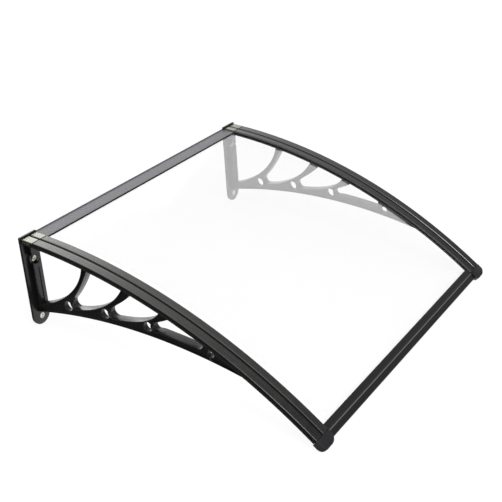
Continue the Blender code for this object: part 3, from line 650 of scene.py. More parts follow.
@dataclass(frozen=True)
class Finish:
    """A surface: what the piece is made of and how it was made.

    Its colours are sRGB hex values. Sizes of its pattern are in millimetres.
    """

    name: str
    slot: str
    colour: str
    roughness: float

    def optics(self) -> dict[str, float]:
        """Values of the shader's own sockets that are the same all over the surface."""
        return {}

    def layers(self) -> Sequence[Layer]:
        """Layers of marks that this finish has."""
        raise NotImplementedError

    def material(self) -> bpy.types.Material:
        """Return the material, made once."""
        known = bpy.data.materials.get(self.name)
        if known:
            return known
        made = bpy.data.materials.new(self.name)
        made.diffuse_color = linear(self.colour)
        tree = blank_tree(made)
        values = {"Base Color": linear(self.colour), "Roughness": self.roughness, **self.optics()}
        shader = add_node(tree, "ShaderNodeBsdfPrincipled", values)
        add_node(tree, "ShaderNodeOutputMaterial", links={"Surface": shader.outputs["BSDF"]})
        for layer in self.layers():
            self.draw(layer, tree, shader)
        return made

    def draw(self, layer: Layer, tree: bpy.types.NodeTree, shader: bpy.types.Node) -> None:
        """Draw a layer of marks, with coordinates that are fixed to the piece.

        Args:
            layer: The layer.
            tree: Node tree of the material.
            shader: Its shader.
        """
        kind, output, weak, strong = layer.marks.value
        place = add_node(tree, "ShaderNodeTexCoord").outputs["Object"]
        stretch = {"Scale": layer.stretch}
        mapping = add_node(tree, "ShaderNodeMapping", stretch, {"Vector": place})
        values = {
            "Scale": 1 / (layer.size * MM),
            "Detail": layer.detail,
            "Roughness": layer.crispness,
        }
        marks = add_node(tree, kind, values, {"Vector": mapping.outputs[0]}).outputs[output]
        fill = {"From Min": weak, "From Max": strong}
        if layer.tints:
            share = add_node(tree, "ShaderNodeMapRange", fill, {"Value": marks}).outputs[0]
            ends = {6: linear(layer.tints[0]), 7: linear(layer.tints[1])}
            tint = add_node(tree, "ShaderNodeMix", ends, {0: share}, data_type="RGBA")
            tree.links.new(tint.outputs[2], shader.inputs["Base Color"])
        if layer.dulling:
            least, most = (self.roughness + change for change in layer.dulling)
            fill |= {"To Min": least, "To Max": most}
            rough = add_node(tree, "ShaderNodeMapRange", fill, {"Value": marks}).outputs[0]
            tree.links.new(rough, shader.inputs["Roughness"])
        if layer.relief:
            strength, height = layer.relief
            values = {"Strength": strength, "Distance": height * MM}
            bump = add_node(tree, "ShaderNodeBump", values, {"Height": marks}).outputs[0]
            tree.links.new(bump, shader.inputs["Normal"])


@dataclass(frozen=True)
class MouldedPlastic(Finish):
    """Glass filled polypropylene, injection moulded in a spark eroded mould.

    It gives a near black, half matt surface with a fine even grain, and a faint cloudiness where
    the melt flowed.
    """

    light_colour: str = "#262628"
    sheen: float = 0.25
    grain: float = 1.4
    flow: float = 45.0

    def optics(self) -> dict[str, float]:
        """Refraction of polypropylene, and the sheen that the mould leaves."""
        return {"IOR": 1.49, "Specular IOR Level": self.sheen}

    def layers(self) -> Sequence[Layer]:
        """Flow clouds and moulded grain. The real grain, 0.15 mm wide, is drawn coarser to show."""
        return (
            Layer(self.flow, detail=3.0, tints=(self.colour, self.light_colour)),
            Layer(self.grain, dulling=(-0.05, 0.06), relief=(0.35, 0.05)),
        )


@dataclass(frozen=True)
class ExtrudedAluminium(Finish):
    """Aluminium, extruded, etched matt and anodised.

    It gives a satin metal with fine lines in the direction in which it left the die, and a slight
    change of tone from line to line.
    """

    dark_colour: str = "#8f918c"
    drawn: Run = Run.AWAY_FROM_WALL
    line: float = 1.6
    etch: float = 30.0

    def optics(self) -> dict[str, float]:
        """Bare metal under a clear oxide."""
        return {"Metallic": 1.0}

    def layers(self) -> Sequence[Layer]:
        """Die lines and etching. The real lines are 0.1 mm wide and are drawn coarser to show."""
        tints = (self.dark_colour, self.colour)
        return (
            Layer(self.line, 4.0, 0.65, self.drawn.value, tints=tints, relief=(0.3, 0.02)),
            Layer(self.etch, dulling=(-0.03, 0.03)),
        )


@dataclass(frozen=True)
class CoatedAluminium(Finish):
    """Aluminium, extruded and powder coated.

    It gives an even satin colour with a faint orange peel, through which the longest die lines
    just show.
    """

    light_colour: str = "#908e94"
    gloss: float = 0.4
    peel: float = 2.5
    line: float = 3.0

    def optics(self) -> dict[str, float]:
        """Refraction and gloss of a polyester powder coat."""
        return {"IOR": 1.5, "Specular IOR Level": self.gloss}

    def layers(self) -> Sequence[Layer]:
        """Orange peel and die lines. The real peel is 1 mm wide and is drawn coarser to show."""
        tints = (self.colour, self.light_colour)
        return (
            Layer(self.peel, detail=1.0, dulling=(-0.04, 0.04), relief=(0.3, 0.03)),
            Layer(self.line, detail=3.0, stretch=Run.ALONG_WALL.value, tints=tints),
        )


@dataclass(frozen=True)
class ClearPolycarbonate(Finish):
    """Clear polycarbonate sheet, extruded and calendered.

    It gives a glossy, see-through sheet whose partly opaque white paints the reflection of its
    white surroundings and turns what lies behind it pale, with a barely visible waviness.
    """

    cover: float = 0.5
    wave: float = 70.0
    stretch: Place = (1.0, 0.3, 0.3)

    def optics(self) -> dict[str, float]:
        """Refraction of polycarbonate, and the share of it that is opaque white, painted
        reflection.
        """
        return {"IOR": 1.585, "Alpha": self.cover}

    def layers(self) -> Sequence[Layer]:
        """Slow waves that the rollers leave."""
        return (
            Layer(self.wave, 1.0, stretch=self.stretch, dulling=(-0.02, 0.02), relief=(0.2, 0.05)),
        )


@dataclass(frozen=True)
class ExtrudedRubber(Finish):
    """EPDM rubber, extruded.

    It gives a dull black with a soft, slightly dusty bloom.
    """

    bloom: str = "#2c2c2b"
    shine: float = 0.12
    dust: float = 12.0
    skin: float = 1.2

    def optics(self) -> dict[str, float]:
        """Refraction of rubber, and its low shine."""
        return {"IOR": 1.52, "Specular IOR Level": self.shine}

    def layers(self) -> Sequence[Layer]:
        """Bloom and the fine roughness of the die."""
        return (
            Layer(self.dust, detail=5.0, tints=(self.colour, self.bloom)),
            Layer(self.skin, relief=(0.4, 0.05)),
        )


@dataclass(frozen=True)
class CellFoam(Finish):
    """Closed cell polyethylene foam tape, cut.

    It gives a matt dark grey full of small open cells.
    """

    wall_colour: str = "#4a4a4a"
    cell: float = 1.5

    def layers(self) -> Sequence[Layer]:
        """Cells. The real ones are 0.4 mm wide and are drawn coarser to show."""
        tints = (self.colour, self.wall_colour)
        return (Layer(self.cell, 0.0, marks=Marks.CELLS, tints=tints, relief=(0.7, 0.3)),)


@dataclass(frozen=True)
class ZincedSteel(Finish):
    """Steel screw, cold headed and zinc plated.

    It gives a bright metal with a faint blue and yellow cast and a slightly uneven polish.
    """

    cast: str = "#c9c4ae"
    bloom: float = 4.0

    def optics(self) -> dict[str, float]:
        """Bare metal."""
        return {"Metallic": 1.0}

    def layers(self) -> Sequence[Layer]:
        """Cast and polish of the plating."""
        return (Layer(self.bloom, 3.0, tints=(self.colour, self.cast), dulling=(-0.06, 0.08)),)


BRACKET_PLASTIC = MouldedPlastic(
    "Black glass filled polypropylene, moulded",
    "bracket_plastic",
    "#121213",
    0.26,
    light_colour="#1a1a1b",
    sheen=0.5,
)
CAP_PLASTIC = MouldedPlastic(
    "Black polypropylene, moulded",
    "cap_plastic",
    "#282729",
    0.30,
    light_colour="#323133",
    sheen=0.35,
    grain=1.0,
)
STRIP_ALUMINIUM = ExtrudedAluminium(
    "Grey anodised aluminium, extruded", "strip_aluminium", "#676766", 0.26, dark_colour="#545453"
)
COVER_ALUMINIUM = ExtrudedAluminium(
    "Pale anodised aluminium, extruded", "cover_aluminium", "#909388", 0.27, dark_colour="#7f8278"
)
REAR_ALUMINIUM = CoatedAluminium(
    "Grey powder coated aluminium", "rear_bar_aluminium", "#5f5d63", 0.38, light_colour="#69676d"
)
FRONT_ALUMINIUM = CoatedAluminium(
    "Charcoal powder coated aluminium",
    "front_bar_aluminium",
    "#1e1e1f",
    0.34,
    light_colour="#262527",
    gloss=0.45,
)
# Painted highlight: a pale grey strip on the front bar's ridge stands in for the light line that
# the ridge catches.
RIDGE_HIGHLIGHT_PAINT = CoatedAluminium(
    "Grey powder coated aluminium trim",
    "front_bar_aluminium",
    "#626166",
    0.34,
    light_colour="#6c6b70",
)
# Painted reflection: a quarter opaque white over the middle of the sheet stands in for the white
# surroundings its faces mirror.
REFLECTION_PAINTED_SHEET = ClearPolycarbonate(
    "Clear polycarbonate, extruded, under its milky film",
    "sheet_polycarbonate",
    WHITE,
    0.06,
    cover=0.25,
)
# Nearly clear margin beside each strip, where the painted reflection is left out.
CLEAR_MARGIN_SHEET = ClearPolycarbonate(
    "Clear polycarbonate, extruded", "sheet_polycarbonate", WHITE, 0.06, cover=0.01
)
GASKET_RUBBER = ExtrudedRubber(
    "Black EPDM rubber, extruded", "gasket_rubber", "#0b0b0b", 0.7, bloom="#161616"
)
# Painted shade: near black rubber laid where only shade falls, on the floor of the strips' slots
# and along the rear bar's lip.
SHADE_PAINT_RUBBER = ExtrudedRubber(
    "Black TPE, extruded", "gasket_rubber", "#080808", 0.7, bloom="#0e0e0e"
)
LIP_RUBBER = ExtrudedRubber(
    "Grey EPDM rubber, extruded", "gasket_rubber", "#3b3b3d", 0.6, bloom="#4a4a4b", shine=0.25
)
SEAL_FOAM = CellFoam("Black polyethylene foam, cut", "seal_foam", "#222222", 0.85)
SCREW_STEEL = ZincedSteel("Zinc plated steel, cold headed", "screw_steel", "#d3d5d8", 0.22)


def add_piece(
    name: str, mesh: bpy.types.Mesh, finish: Finish, node: str = "", matrix: Optional[Matrix] = None
) -> bpy.types.Object:
    """Put a mesh in the scene as a piece.

    Args:
        name: Name of the piece.
        mesh: Its mesh.
        finish: Its surface.
        node: CAD node that it stands for, if any.
        matrix: Its place, where the mesh isn't in place itself.

    Returns:
        The new piece.
    """
    piece = put(name, mesh, matrix)
    mesh.materials.clear()
    mesh.materials.append(finish.material())
    bpy.context.view_layer.update()
    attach(piece, BODY)
    if node:
        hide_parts(node)
    LOG.info("%s: %d faces, stands for %s", name, len(mesh.polygons), node or "no node")
    return piece


@dataclass(frozen=True)
class RoundHole:
    """Round hole of the arm: distance from the wall, height above the lower edge, and width."""

    at: float
    height: float
    width: float


@dataclass(frozen=True)
class StrutOpening:
    """Opening between two struts, with a round nose low at the wall side.

    Heights are above the arm's lower edge, and slopes in degrees.
    """

    upper_at: float
    upper_slope: float
    nose_at: float
    nose_height: float
    nose_radius: float
    nose_slopes: Point
    lower_at: float = 0.0
    lower_slope: float = 0.0


@dataclass
class Brackets:
    """The two moulded brackets: wall plate, arched arm with openings, flange under the sheet."""

    flange_width: float = 0.055
    flange_edge: float = 0.0007
    plate_top: float = 0.0175
    plate_bottom: float = -0.2530
    plate_corner: float = 0.004
    plate_edge: float = 0.0010
    bolt_hole: float = 0.011
    bolt_heights: Point = (-0.052, -0.228)
    boss_width: float = 0.031
    boss_height: float = 0.0065
    boss_edge: float = 0.0008
    pocket_width: float = 0.0275
    pocket_sink: float = 0.0006
    channel_width: float = 0.012
    channel_depth: float = 0.002
    channel_heights: Point = (-0.075, -0.170)
    arm_thickness: float = 0.0265
    arm_edge: float = 0.0009
    web_thickness: float = 0.016
    rim: float = 0.0032
    bite: float = 0.0003
    beyond: float = 0.002
    arm_at_wall: float = -0.2115
    arm_rise: float = 0.0395
    arm_reach: float = 0.690
    arm_end_depth: float = 0.0122
    spine_depth: float = 0.0055
    spine_margin: float = 0.004
    first_foot: float = 0.0220
    first_foot_slope: float = 16.0
    first_end: float = 0.1960
    first_end_slope: float = 83.0
    wall_bar: float = 0.0215
    second: StrutOpening = StrutOpening(0.2170, 63, 0.1537, 0.0343, 0.0140, (47, 8), 0.3270, 64)
    third: StrutOpening = StrutOpening(0.3555, 60, 0.2840, 0.0315, 0.0148, (40, 6), 0.4420, 62)
    last: StrutOpening = StrutOpening(0.4745, 45, 0.4195, 0.0300, 0.0120, (32, 0))
    last_floor: float = 0.0205
    last_front: float = 0.563
    last_lean: float = 0.0015
    last_corner: float = 0.0140
    holes: tuple[RoundHole, ...] = (
        RoundHole(0.1214, 0.0230, 0.0285),
        RoundHole(0.2505, 0.0218, 0.0280),
        RoundHole(0.3905, 0.0212, 0.0275),
        RoundHole(0.5800, 0.0160, 0.0220),
    )
    hole_edge: float = 0.0010
    hole_turn: float = 105.0
    last_turn: float = 280.0
    flange_steps: int = 12
    first_steps: int = 40
    last_steps: int = 10
    tongue_steps: int = 40
    corner_steps: int = 8
    channel_steps: int = 16
    nose_steps: int = 18
    edge_steps: int = 36
    arch_steps: int = 48
    spine_steps: int = 20
    long_steps: int = 72
    bolt_steps: int = 48
    boss_steps: int = 64

    def arm_height(self, distance: float) -> float:
        """Height of the arm's lower edge, a shallow arch, at a distance from the wall."""
        half = self.arm_reach / 2
        radius = (half**2 + self.arm_rise**2) / (2 * self.arm_rise)
        arch = math.sqrt(radius**2 - (distance - half) ** 2) - (radius - self.arm_rise)
        end = ARC.height(self.arm_reach, PLAN.flange_bottom) - self.arm_end_depth
        return self.arm_at_wall + (end - self.arm_at_wall) * distance / self.arm_reach + arch

    def top(self, distance: float) -> Point:
        """Point where an opening's edge has entered the flange."""
        return (distance, ARC.height(distance, PLAN.flange_bottom + self.bite))

    def under_flange(self, start: float, end: float) -> list[Point]:
        """Points along the flange from one end of an opening to the other, without the two ends."""
        return [self.top(at) for at in spaced(start, end, self.flange_steps)[1:-1]]

    def nose(self, opening: StrutOpening) -> list[Point]:
        """Round nose of an opening, from the end of its upper edge to the start of the lower."""
        above, below = opening.nose_slopes
        centre = (opening.nose_at, self.arm_height(opening.nose_at) + opening.nose_height)
        return round_corner(centre, opening.nose_radius, above + 90, below + 270, self.nose_steps)

    def upper_edge(self, opening: StrutOpening, nose: Sequence[Point]) -> list[Point]:
        """Upper edge of an opening, from the flange down to its nose."""
        slope = opening.nose_slopes[0]
        end = self.top(opening.upper_at)
        return bow(nose[0], end, slope, opening.upper_slope, self.nose_steps)[::-1]

    def strut_opening(self, opening: StrutOpening) -> list[Point]:
        """Outline of an opening between two struts."""
        nose = self.nose(opening)
        slope = opening.nose_slopes[1]
        end = self.top(opening.lower_at)
        rise = bow(nose[-1], end, slope, opening.lower_slope, self.edge_steps)
        down = self.upper_edge(opening, nose)
        return [*down, *nose[1:-1], *rise, *self.under_flange(opening.lower_at, opening.upper_at)]

    def openings(self) -> list[list[Point]]:
        """Outlines of the arm's four openings."""
        foot = (self.first_foot, self.arm_height(self.first_foot) + self.wall_bar)
        slopes = (self.first_foot_slope, self.first_end_slope)
        edge = bow(foot, self.top(self.first_end), *slopes, self.first_steps)
        under = self.under_flange(self.first_end, self.first_foot)
        first = [self.top(self.first_foot), *edge, *under]
        nose = self.nose(self.last)
        corner_at = self.last_front - self.last_corner
        start = self.last.nose_at + self.last.nose_radius
        reaches = spaced(start, corner_at, self.flange_steps)
        floor = [(reach, self.arm_height(reach) + self.last_floor) for reach in reaches]
        centre = (corner_at, self.arm_height(corner_at) + self.last_floor + self.last_corner)
        corner = round_corner(centre, self.last_corner, self.last_turn, 360, self.last_steps)
        front = self.last_front + self.last_lean
        last = [
            *self.upper_edge(self.last, nose),
            *nose[1:-1],
            *floor,
            *corner,
            self.top(front),
            *self.under_flange(front, self.last.upper_at),
        ]
        return [first, self.strut_opening(self.second), self.strut_opening(self.third), last]

    def lower_edge(self) -> list[Point]:
        """Lower edge of the arm, from inside the wall plate along arch and spine to the tip."""
        reaches = spaced(PLAN.plate_thickness / 2, self.arm_reach, self.arch_steps)
        path = [(reach, self.arm_height(reach)) for reach in reaches]
        run = self.arm_reach - ARC.centre[0]
        rise = self.arm_height(self.arm_reach) - ARC.centre[1]
        start = (math.atan2(run, rise) - ARC.slope_at_wall) * ARC.radius
        depth = math.hypot(run, rise) - ARC.radius
        tip = PLAN.flange_end - self.spine_margin
        tip_depth = PLAN.flange_bottom - self.spine_depth
        shares = spaced(0, 1, self.spine_steps)[1:]
        spine = [
            (start + (tip - start) * share, depth + (tip_depth - depth) * share)
            for share in shares
        ]
        return path + ARC.outline(spine)

    def arm(self) -> bpy.types.Mesh:
        """The arm: a thick plate, sunk on both faces to a thinner web between proud rims."""
        openings = self.openings()
        tip = PLAN.flange_end - self.spine_margin
        root = PLAN.plate_thickness / 2
        upper_edge = ARC.run(tip, root, PLAN.flange_top - self.bite, self.long_steps)
        outline = self.lower_edge() + upper_edge
        thick = plate_mesh(
            "arm", outline, self.arm_thickness, from_side(), self.arm_edge, EDGE_STEPS, openings
        )
        path = moved(self.lower_edge(), -self.rim, False)
        top = ARC.run(tip - self.rim, 0.0, PLAN.flange_top + self.beyond, self.long_steps)
        sunk = [(0.0, path[0][1]), *path[:-1], *top]
        through = self.arm_thickness + 4 * self.beyond
        rims = [
            plate_mesh("rim", grown(opening, self.rim), through, from_side())
            for opening in openings
        ]
        depth = (self.arm_thickness - self.web_thickness) / 2 + self.beyond
        across = (self.web_thickness + depth) / 2
        faces = [plate_mesh("sunk_face", sunk, depth, from_side(sign * across)) for sign in (-1, 1)]
        cut = combined("sunk_faces", joined("sunk_faces", faces), {Join.DIFFERENCE: rims})
        web = combined("arm", thick, {Join.DIFFERENCE: [cut]}, flat=True)
        return combined("arm", web, {Join.DIFFERENCE: [self.hole_cutter()]}, flat=True)

    def across_rod(self, profile: Sequence[Point], height: float, steps: int) -> bpy.types.Mesh:
        """Turned shape that runs away from the wall, centred across the bracket."""
        mesh = turned_mesh("rod", profile, steps)
        place = Matrix.Translation((0.0, 0.0, height))
        mesh.transform(place @ Matrix.Rotation(math.pi / 2, 4, "X"))
        return mesh

    def hole_cutter(self) -> bpy.types.Mesh:
        """Round holes of the arm, rounded towards both faces of the web."""
        half = self.web_thickness / 2
        made = []
        for hole in self.holes:
            radius = hole.width / 2
            edge = self.hole_edge
            centre = (radius + edge, half - edge)
            flare = round_corner(centre, edge, 180, self.hole_turn, TURNED_STEPS)
            side = [*flare, (radius + 2 * edge, half + self.beyond), (0.0, half + self.beyond)]
            profile = [(r, -z) for r, z in reversed(side)] + side
            mesh = turned_mesh("round_hole", profile, self.bolt_steps)
            place = Matrix.Translation((0.0, -hole.at, self.arm_height(hole.at) + hole.height))
            mesh.transform(place @ Matrix.Rotation(math.pi / 2, 4, "Y"))
            made.append(mesh)
        return joined("round_holes", made)

    def mesh(self) -> bpy.types.Mesh:
        """One whole bracket, centred on X = 0."""
        thickness = PLAN.plate_thickness
        edge = self.flange_edge
        section = eased(box_outline(self.flange_width, PLAN.flange_bottom, PLAN.flange_top), edge)
        ends = (thickness / 2, PLAN.flange_end)
        flange = swept_mesh("bracket", section, *ends, self.long_steps, edge)
        half = PLAN.plate_width / 2
        inner = half - self.plate_corner
        top = self.plate_top - self.plate_corner
        outline = [
            *round_corner((0.0, self.plate_bottom + half), half, 180, 360, self.tongue_steps),
            *round_corner((inner, top), self.plate_corner, 0, 90, self.corner_steps),
            *round_corner((-inner, top), self.plate_corner, 90, 180, self.corner_steps),
        ]
        place = from_wall(thickness / 2)
        plate = plate_mesh("wall_plate", outline, thickness, place, self.plate_edge, EDGE_STEPS)
        face = thickness + self.boss_height
        upper = self.bolt_heights[0]
        profile = rod_profile(self.boss_width / 2, thickness / 2, face, self.boss_edge)
        boss = self.across_rod(profile, upper, self.boss_steps)
        reach = self.first_foot + self.rim + self.beyond
        profile = rod_profile(self.pocket_width / 2, face - self.pocket_sink, reach)
        pocket = self.across_rod(profile, upper, self.boss_steps)
        half = self.channel_width / 2
        top, low = (height - half for height in self.channel_heights)
        outline = [
            *round_corner((0.0, top), half, 0, 180, self.channel_steps),
            *round_corner((0.0, low), half, 180, 360, self.channel_steps),
        ]
        channel = plate_mesh("channel", outline, 2 * self.channel_depth, from_wall(self.first_foot))
        profile = rod_profile(self.bolt_hole / 2, -self.beyond, reach)
        rods = [self.across_rod(profile, height, self.bolt_steps) for height in self.bolt_heights]
        bolts = joined("bolt_holes", rods)
        steps = {Join.UNION: [plate, boss, self.arm()], Join.DIFFERENCE: [pocket, channel, bolts]}
        return combined("bracket", flange, steps)

    def build(self) -> list[bpy.types.Object]:
        """Build both brackets."""
        mesh = self.mesh()
        return [
            add_piece(
                f"moulded_bracket_{side.word}",
                shifted(mesh, f"moulded_bracket_{side.word}", beside(side)),
                BRACKET_PLASTIC,
                f"bracket_{side.word}",
            )
            for side in Side
        ]


@dataclass
class ClearSheet:
    """The clear sheet, partly opaque white as painted reflection, and nearly clear in a margin
    beside each strip.
    """

    edge: float = 0.0003
    margin: float = 0.0725
    steps: int = 96

    def build(self) -> list[bpy.types.Object]:
        """Build the sheet."""
        half = PLAN.sheet_width / 2
        painted_half = half - self.margin
        low = -PLAN.sheet_thickness
        outline = [
            (-half, low),
            (-painted_half, low),
            (painted_half, low),
            (half, low),
            (half, 0.0),
            (painted_half, 0.0),
            (-painted_half, 0.0),
            (-half, 0.0),
        ]
        section = eased(outline, self.edge, 2)
        ends = (PLAN.sheet_start, PLAN.sheet_end)
        mesh = swept_mesh("clear_sheet", section, *ends, self.steps, self.edge)
        piece = add_piece("clear_sheet", mesh, REFLECTION_PAINTED_SHEET, "sheet")
        # Painted reflection over the middle of the sheet, nearly clear beside the strips.
        mesh.materials.append(CLEAR_MARGIN_SHEET.material())
        for face in mesh.polygons:
            face.material_index = int(abs(face.center.x) > painted_half)
        return [piece]


@dataclass
class Strips:
    """The pressing strips over the sheet, their covers at the wall, and the sheet's gaskets."""

    outer: float = 0.0267
    outer_round: float = 0.0014
    outer_turn: float = 80.0
    outer_steps: int = 6
    inner: float = 0.0257
    inner_foot: float = 0.0297
    foot_rise: float = 0.0005
    lip_clear: float = 0.0001
    lip_crest: float = 0.0003
    slot_at: float = 0.0020
    slot_width: float = 0.0056
    slot_depth: float = 0.0016
    slot_slope: float = 0.0018
    bead_depth: float = 0.0010
    rib_count: int = 4
    rib_depth: float = 0.0004
    end_slope: float = 0.0006
    joint: float = 0.0010
    skirt: float = 0.0275
    skirt_drop: float = 0.0015
    gasket_width: float = 0.047
    gasket_edge: float = 0.0003
    sealing_ribs: int = 6
    sealing_width: float = 0.0012
    sealing_depth: float = 0.0003
    steps: int = 96
    least_steps: int = 6

    def strip_section(self, side: Side) -> list[Point]:
        """Section of a strip: ribbed top, shallow slot with sloping sides, round outer edge.

        Args:
            side: End of the awning that the strip is for.

        Returns:
            The section, its round edge on the outer side.
        """
        top = PLAN.strip_top
        low = PLAN.strip_underside
        start = self.outer - self.outer_round
        centre = (start, top - self.outer_round)
        floor = self.slot_width / 2
        crest = floor + self.slot_slope
        ribs = self.rib_count, self.rib_depth
        section = [
            (-self.inner, low),
            (self.outer, low),
            *round_corner(centre, self.outer_round, 0, self.outer_turn, self.outer_steps),
            *ribbed(start, crest - self.slot_at, top, *ribs),
            (crest - self.slot_at, top),
            (floor - self.slot_at, top - self.slot_depth),
            (-floor - self.slot_at, top - self.slot_depth),
            *ribbed(-crest - self.slot_at, -self.inner, top, *ribs),
            (-self.inner, top),
        ]
        return mirrored(section, side)

    def lip_section(self, side: Side) -> list[Point]:
        """Section of the soft lip that slopes from a strip's inner edge down towards the sheet."""
        near = self.inner + self.lip_clear
        low = PLAN.strip_underside
        top = PLAN.strip_top - self.lip_clear
        section = [
            (-near, low),
            (-near, top),
            (-near - self.lip_crest, top),
            (-self.inner_foot, low + self.foot_rise),
            (-self.inner_foot, low),
        ]
        return mirrored(section, side)

    def shade_bead_section(self, side: Side) -> list[Point]:
        """Section of the soft black bead on the floor of the slot, which paints the slot's shade.
        """
        half = self.slot_width / 2
        low = PLAN.strip_top - self.slot_depth
        middle = -self.slot_at * side.value
        rim = half + self.slot_slope * self.bead_depth / self.slot_depth / 2
        high = low + self.bead_depth / 2
        foot = [(middle - half, low), (middle + half, low)]
        return [*foot, (middle + rim, high), (middle - rim, high)]

    def gasket_section(self, side: Side) -> list[Point]:
        """Section of an upper gasket.

        It has fine sealing ribs below, and a skirt that closes the strip's outer side and the
        sheet's edge.

        Args:
            side: End of the awning that the gasket is for.

        Returns:
            The section, its skirt on the outer side.
        """
        low, high = PLAN.upper
        foot = PLAN.flange_top + PLAN.gap
        crest = PLAN.strip_top - self.skirt_drop
        wide = self.sealing_width
        ribs: list[Point] = []
        for i in range(self.sealing_ribs):
            at = self.gasket_width * ((i + 0.5) / self.sealing_ribs - 0.5)
            ribs += [
                (at - wide, low),
                (at - wide / 2, low + self.sealing_depth),
                (at + wide / 2, low + self.sealing_depth),
                (at + wide, low),
            ]
        section = [
            (-self.inner_foot, low),
            *ribs,
            (self.outer, low),
            (self.outer, foot),
            (self.skirt, foot),
            (self.skirt, crest),
            (self.outer, crest),
            (self.outer, high),
            (-self.inner_foot, high),
        ]
        return mirrored(section, side)

    def build(self) -> list[bpy.types.Object]:
        """Build the strips, covers, gaskets and the black beads that paint the slots' shade, of
        both sides.
        """
        made = []
        low, high = PLAN.lower
        pad = eased(box_outline(self.gasket_width, low, high), self.gasket_edge, 2)
        gap = PLAN.gap
        wall, tip = PLAN.cover_start, PLAN.strip_end
        joint = PLAN.strip_start + self.joint, PLAN.cover_end - self.joint
        above = PLAN.rear_upper_lip + gap, PLAN.upper_lip_at - gap
        below = PLAN.rear_lower_lip + gap, PLAN.lower_lip_at - gap
        for side in Side:
            strip = self.strip_section(side)
            runs = (
                ("ribbed_strip", "top_strip", STRIP_ALUMINIUM, strip, joint[0], tip),
                ("ribbed_cover", "strip_cover", COVER_ALUMINIUM, strip, wall, joint[1]),
                ("edge_gasket", "upper_gasket", GASKET_RUBBER, self.gasket_section(side), *above),
                ("pad_gasket", "lower_gasket", GASKET_RUBBER, pad, *below),
                # Painted shade: the black bead darkens the floor of the slot.
                (
                    "slot_shade_bead",
                    "",
                    SHADE_PAINT_RUBBER,
                    self.shade_bead_section(side),
                    wall + self.end_slope,
                    tip - self.end_slope,
                ),
                ("inner_lip", "", LIP_RUBBER, self.lip_section(side), wall, tip),
            )
            for name, node, finish, section, start, end in runs:
                steps = max(self.least_steps, round(self.steps * (end - start) / PLAN.sheet_length))
                slope = self.end_slope if isinstance(finish, ExtrudedAluminium) else 0.0
                mesh = swept_mesh(f"{name}_{side.word}", section, start, end, steps, slope)
                mesh.transform(beside(side))
                stands_for = f"{node}_{side.word}" if node else ""
                made.append(add_piece(f"{name}_{side.word}", mesh, finish, stands_for))
        return made


@dataclass
class RearBar:
    """The bar along the wall that takes the sheet's rear edge, and the seal in its back."""

    below: float = 0.012
    above: float = 0.012
    wall: float = 0.003
    foot: float = 0.0065
    seal_height: float = 0.008
    seal_depth: float = 0.0014
    seal_edge: float = 0.0005
    edge: float = 0.0004
    end_edge: float = 0.0002
    over: float = 0.002
    shadow_strip_width: float = 0.006
    lip_steps: Sequence[int] = (8, 12)

    def outline(self) -> list[Point]:
        """Side view of the bar."""
        seal = self.seal_height / 2 + PLAN.gap
        depth = self.seal_depth + PLAN.gap
        step = self.wall / 2
        low, high = PLAN.lower
        under, top = PLAN.upper
        short, long = self.lip_steps
        lower_low = ARC.run(PLAN.rear_lower_lip, self.wall, low, short)
        lower_top = ARC.run(PLAN.rear_lower_lip, self.wall, high, short)
        upper_top = ARC.run(self.wall, PLAN.rear_upper_lip, top, long)
        upper_low = ARC.run(PLAN.rear_upper_lip, self.wall, under, long)
        return [
            (0.0, -seal),
            (0.0, -self.below),
            (self.foot, -self.below),
            (self.foot, step - self.below),
            (self.wall, step - self.below),
            *lower_low[::-1],
            *lower_top,
            *upper_low[::-1],
            *upper_top[::-1],
            (self.wall, self.above),
            (0.0, self.above),
            (0.0, seal),
            (depth, seal),
            (depth, -seal),
        ]

    def build(self) -> list[bpy.types.Object]:
        """Build the bar, notched for the wall plates, its seal, and a painted shadow line at its
        lip.
        """
        outline = eased(self.outline(), self.edge)
        solid = plate_mesh("drawn_rear_bar", outline, PLAN.sheet_width, from_side(), self.end_edge)
        inner = PLAN.bracket_at - PLAN.plate_width / 2 - PLAN.gap
        block = box_outline(PLAN.sheet_width - inner, -self.below * 2, self.above * 2)
        depth = PLAN.plate_thickness + PLAN.gap + self.over
        distance = (PLAN.plate_thickness + PLAN.gap - self.over) / 2
        across = (PLAN.sheet_width + inner) / 2
        places = [from_wall(distance, side.value * across) for side in Side]
        notches = [plate_mesh("notch", block, depth, place) for place in places]
        bar = combined("drawn_rear_bar", solid, {Join.DIFFERENCE: notches})
        half = self.seal_height / 2
        corners = [(0.0, -half), (self.seal_depth, -half), (self.seal_depth, half), (0.0, half)]
        seal = plate_mesh("foam_seal", eased(corners, self.seal_edge), 2 * inner, from_side())
        # Painted shadow: a black strip along the upper lip's front edge, where the lip's shadow
        # falls on the sheet.
        low, high = PLAN.upper
        start = PLAN.rear_upper_lip
        middle, end = start + self.shadow_strip_width / 2, start + self.shadow_strip_width
        corners = [(start, low), (end, low), (middle, high), (start, high)]
        profile = eased(ARC.outline(corners), self.edge)
        reach = PLAN.bracket_at - PLAN.strip_width / 2 - self.shadow_strip_width
        shadow_strip = plate_mesh("lip_shadow_strip", profile, 2 * reach, from_side())
        return [
            add_piece("drawn_rear_bar", bar, REAR_ALUMINIUM, "rear_bar"),
            add_piece("foam_seal", seal, SEAL_FOAM, "wall_seal"),
            add_piece("lip_shadow_strip", shadow_strip, SHADE_PAINT_RUBBER),
        ]


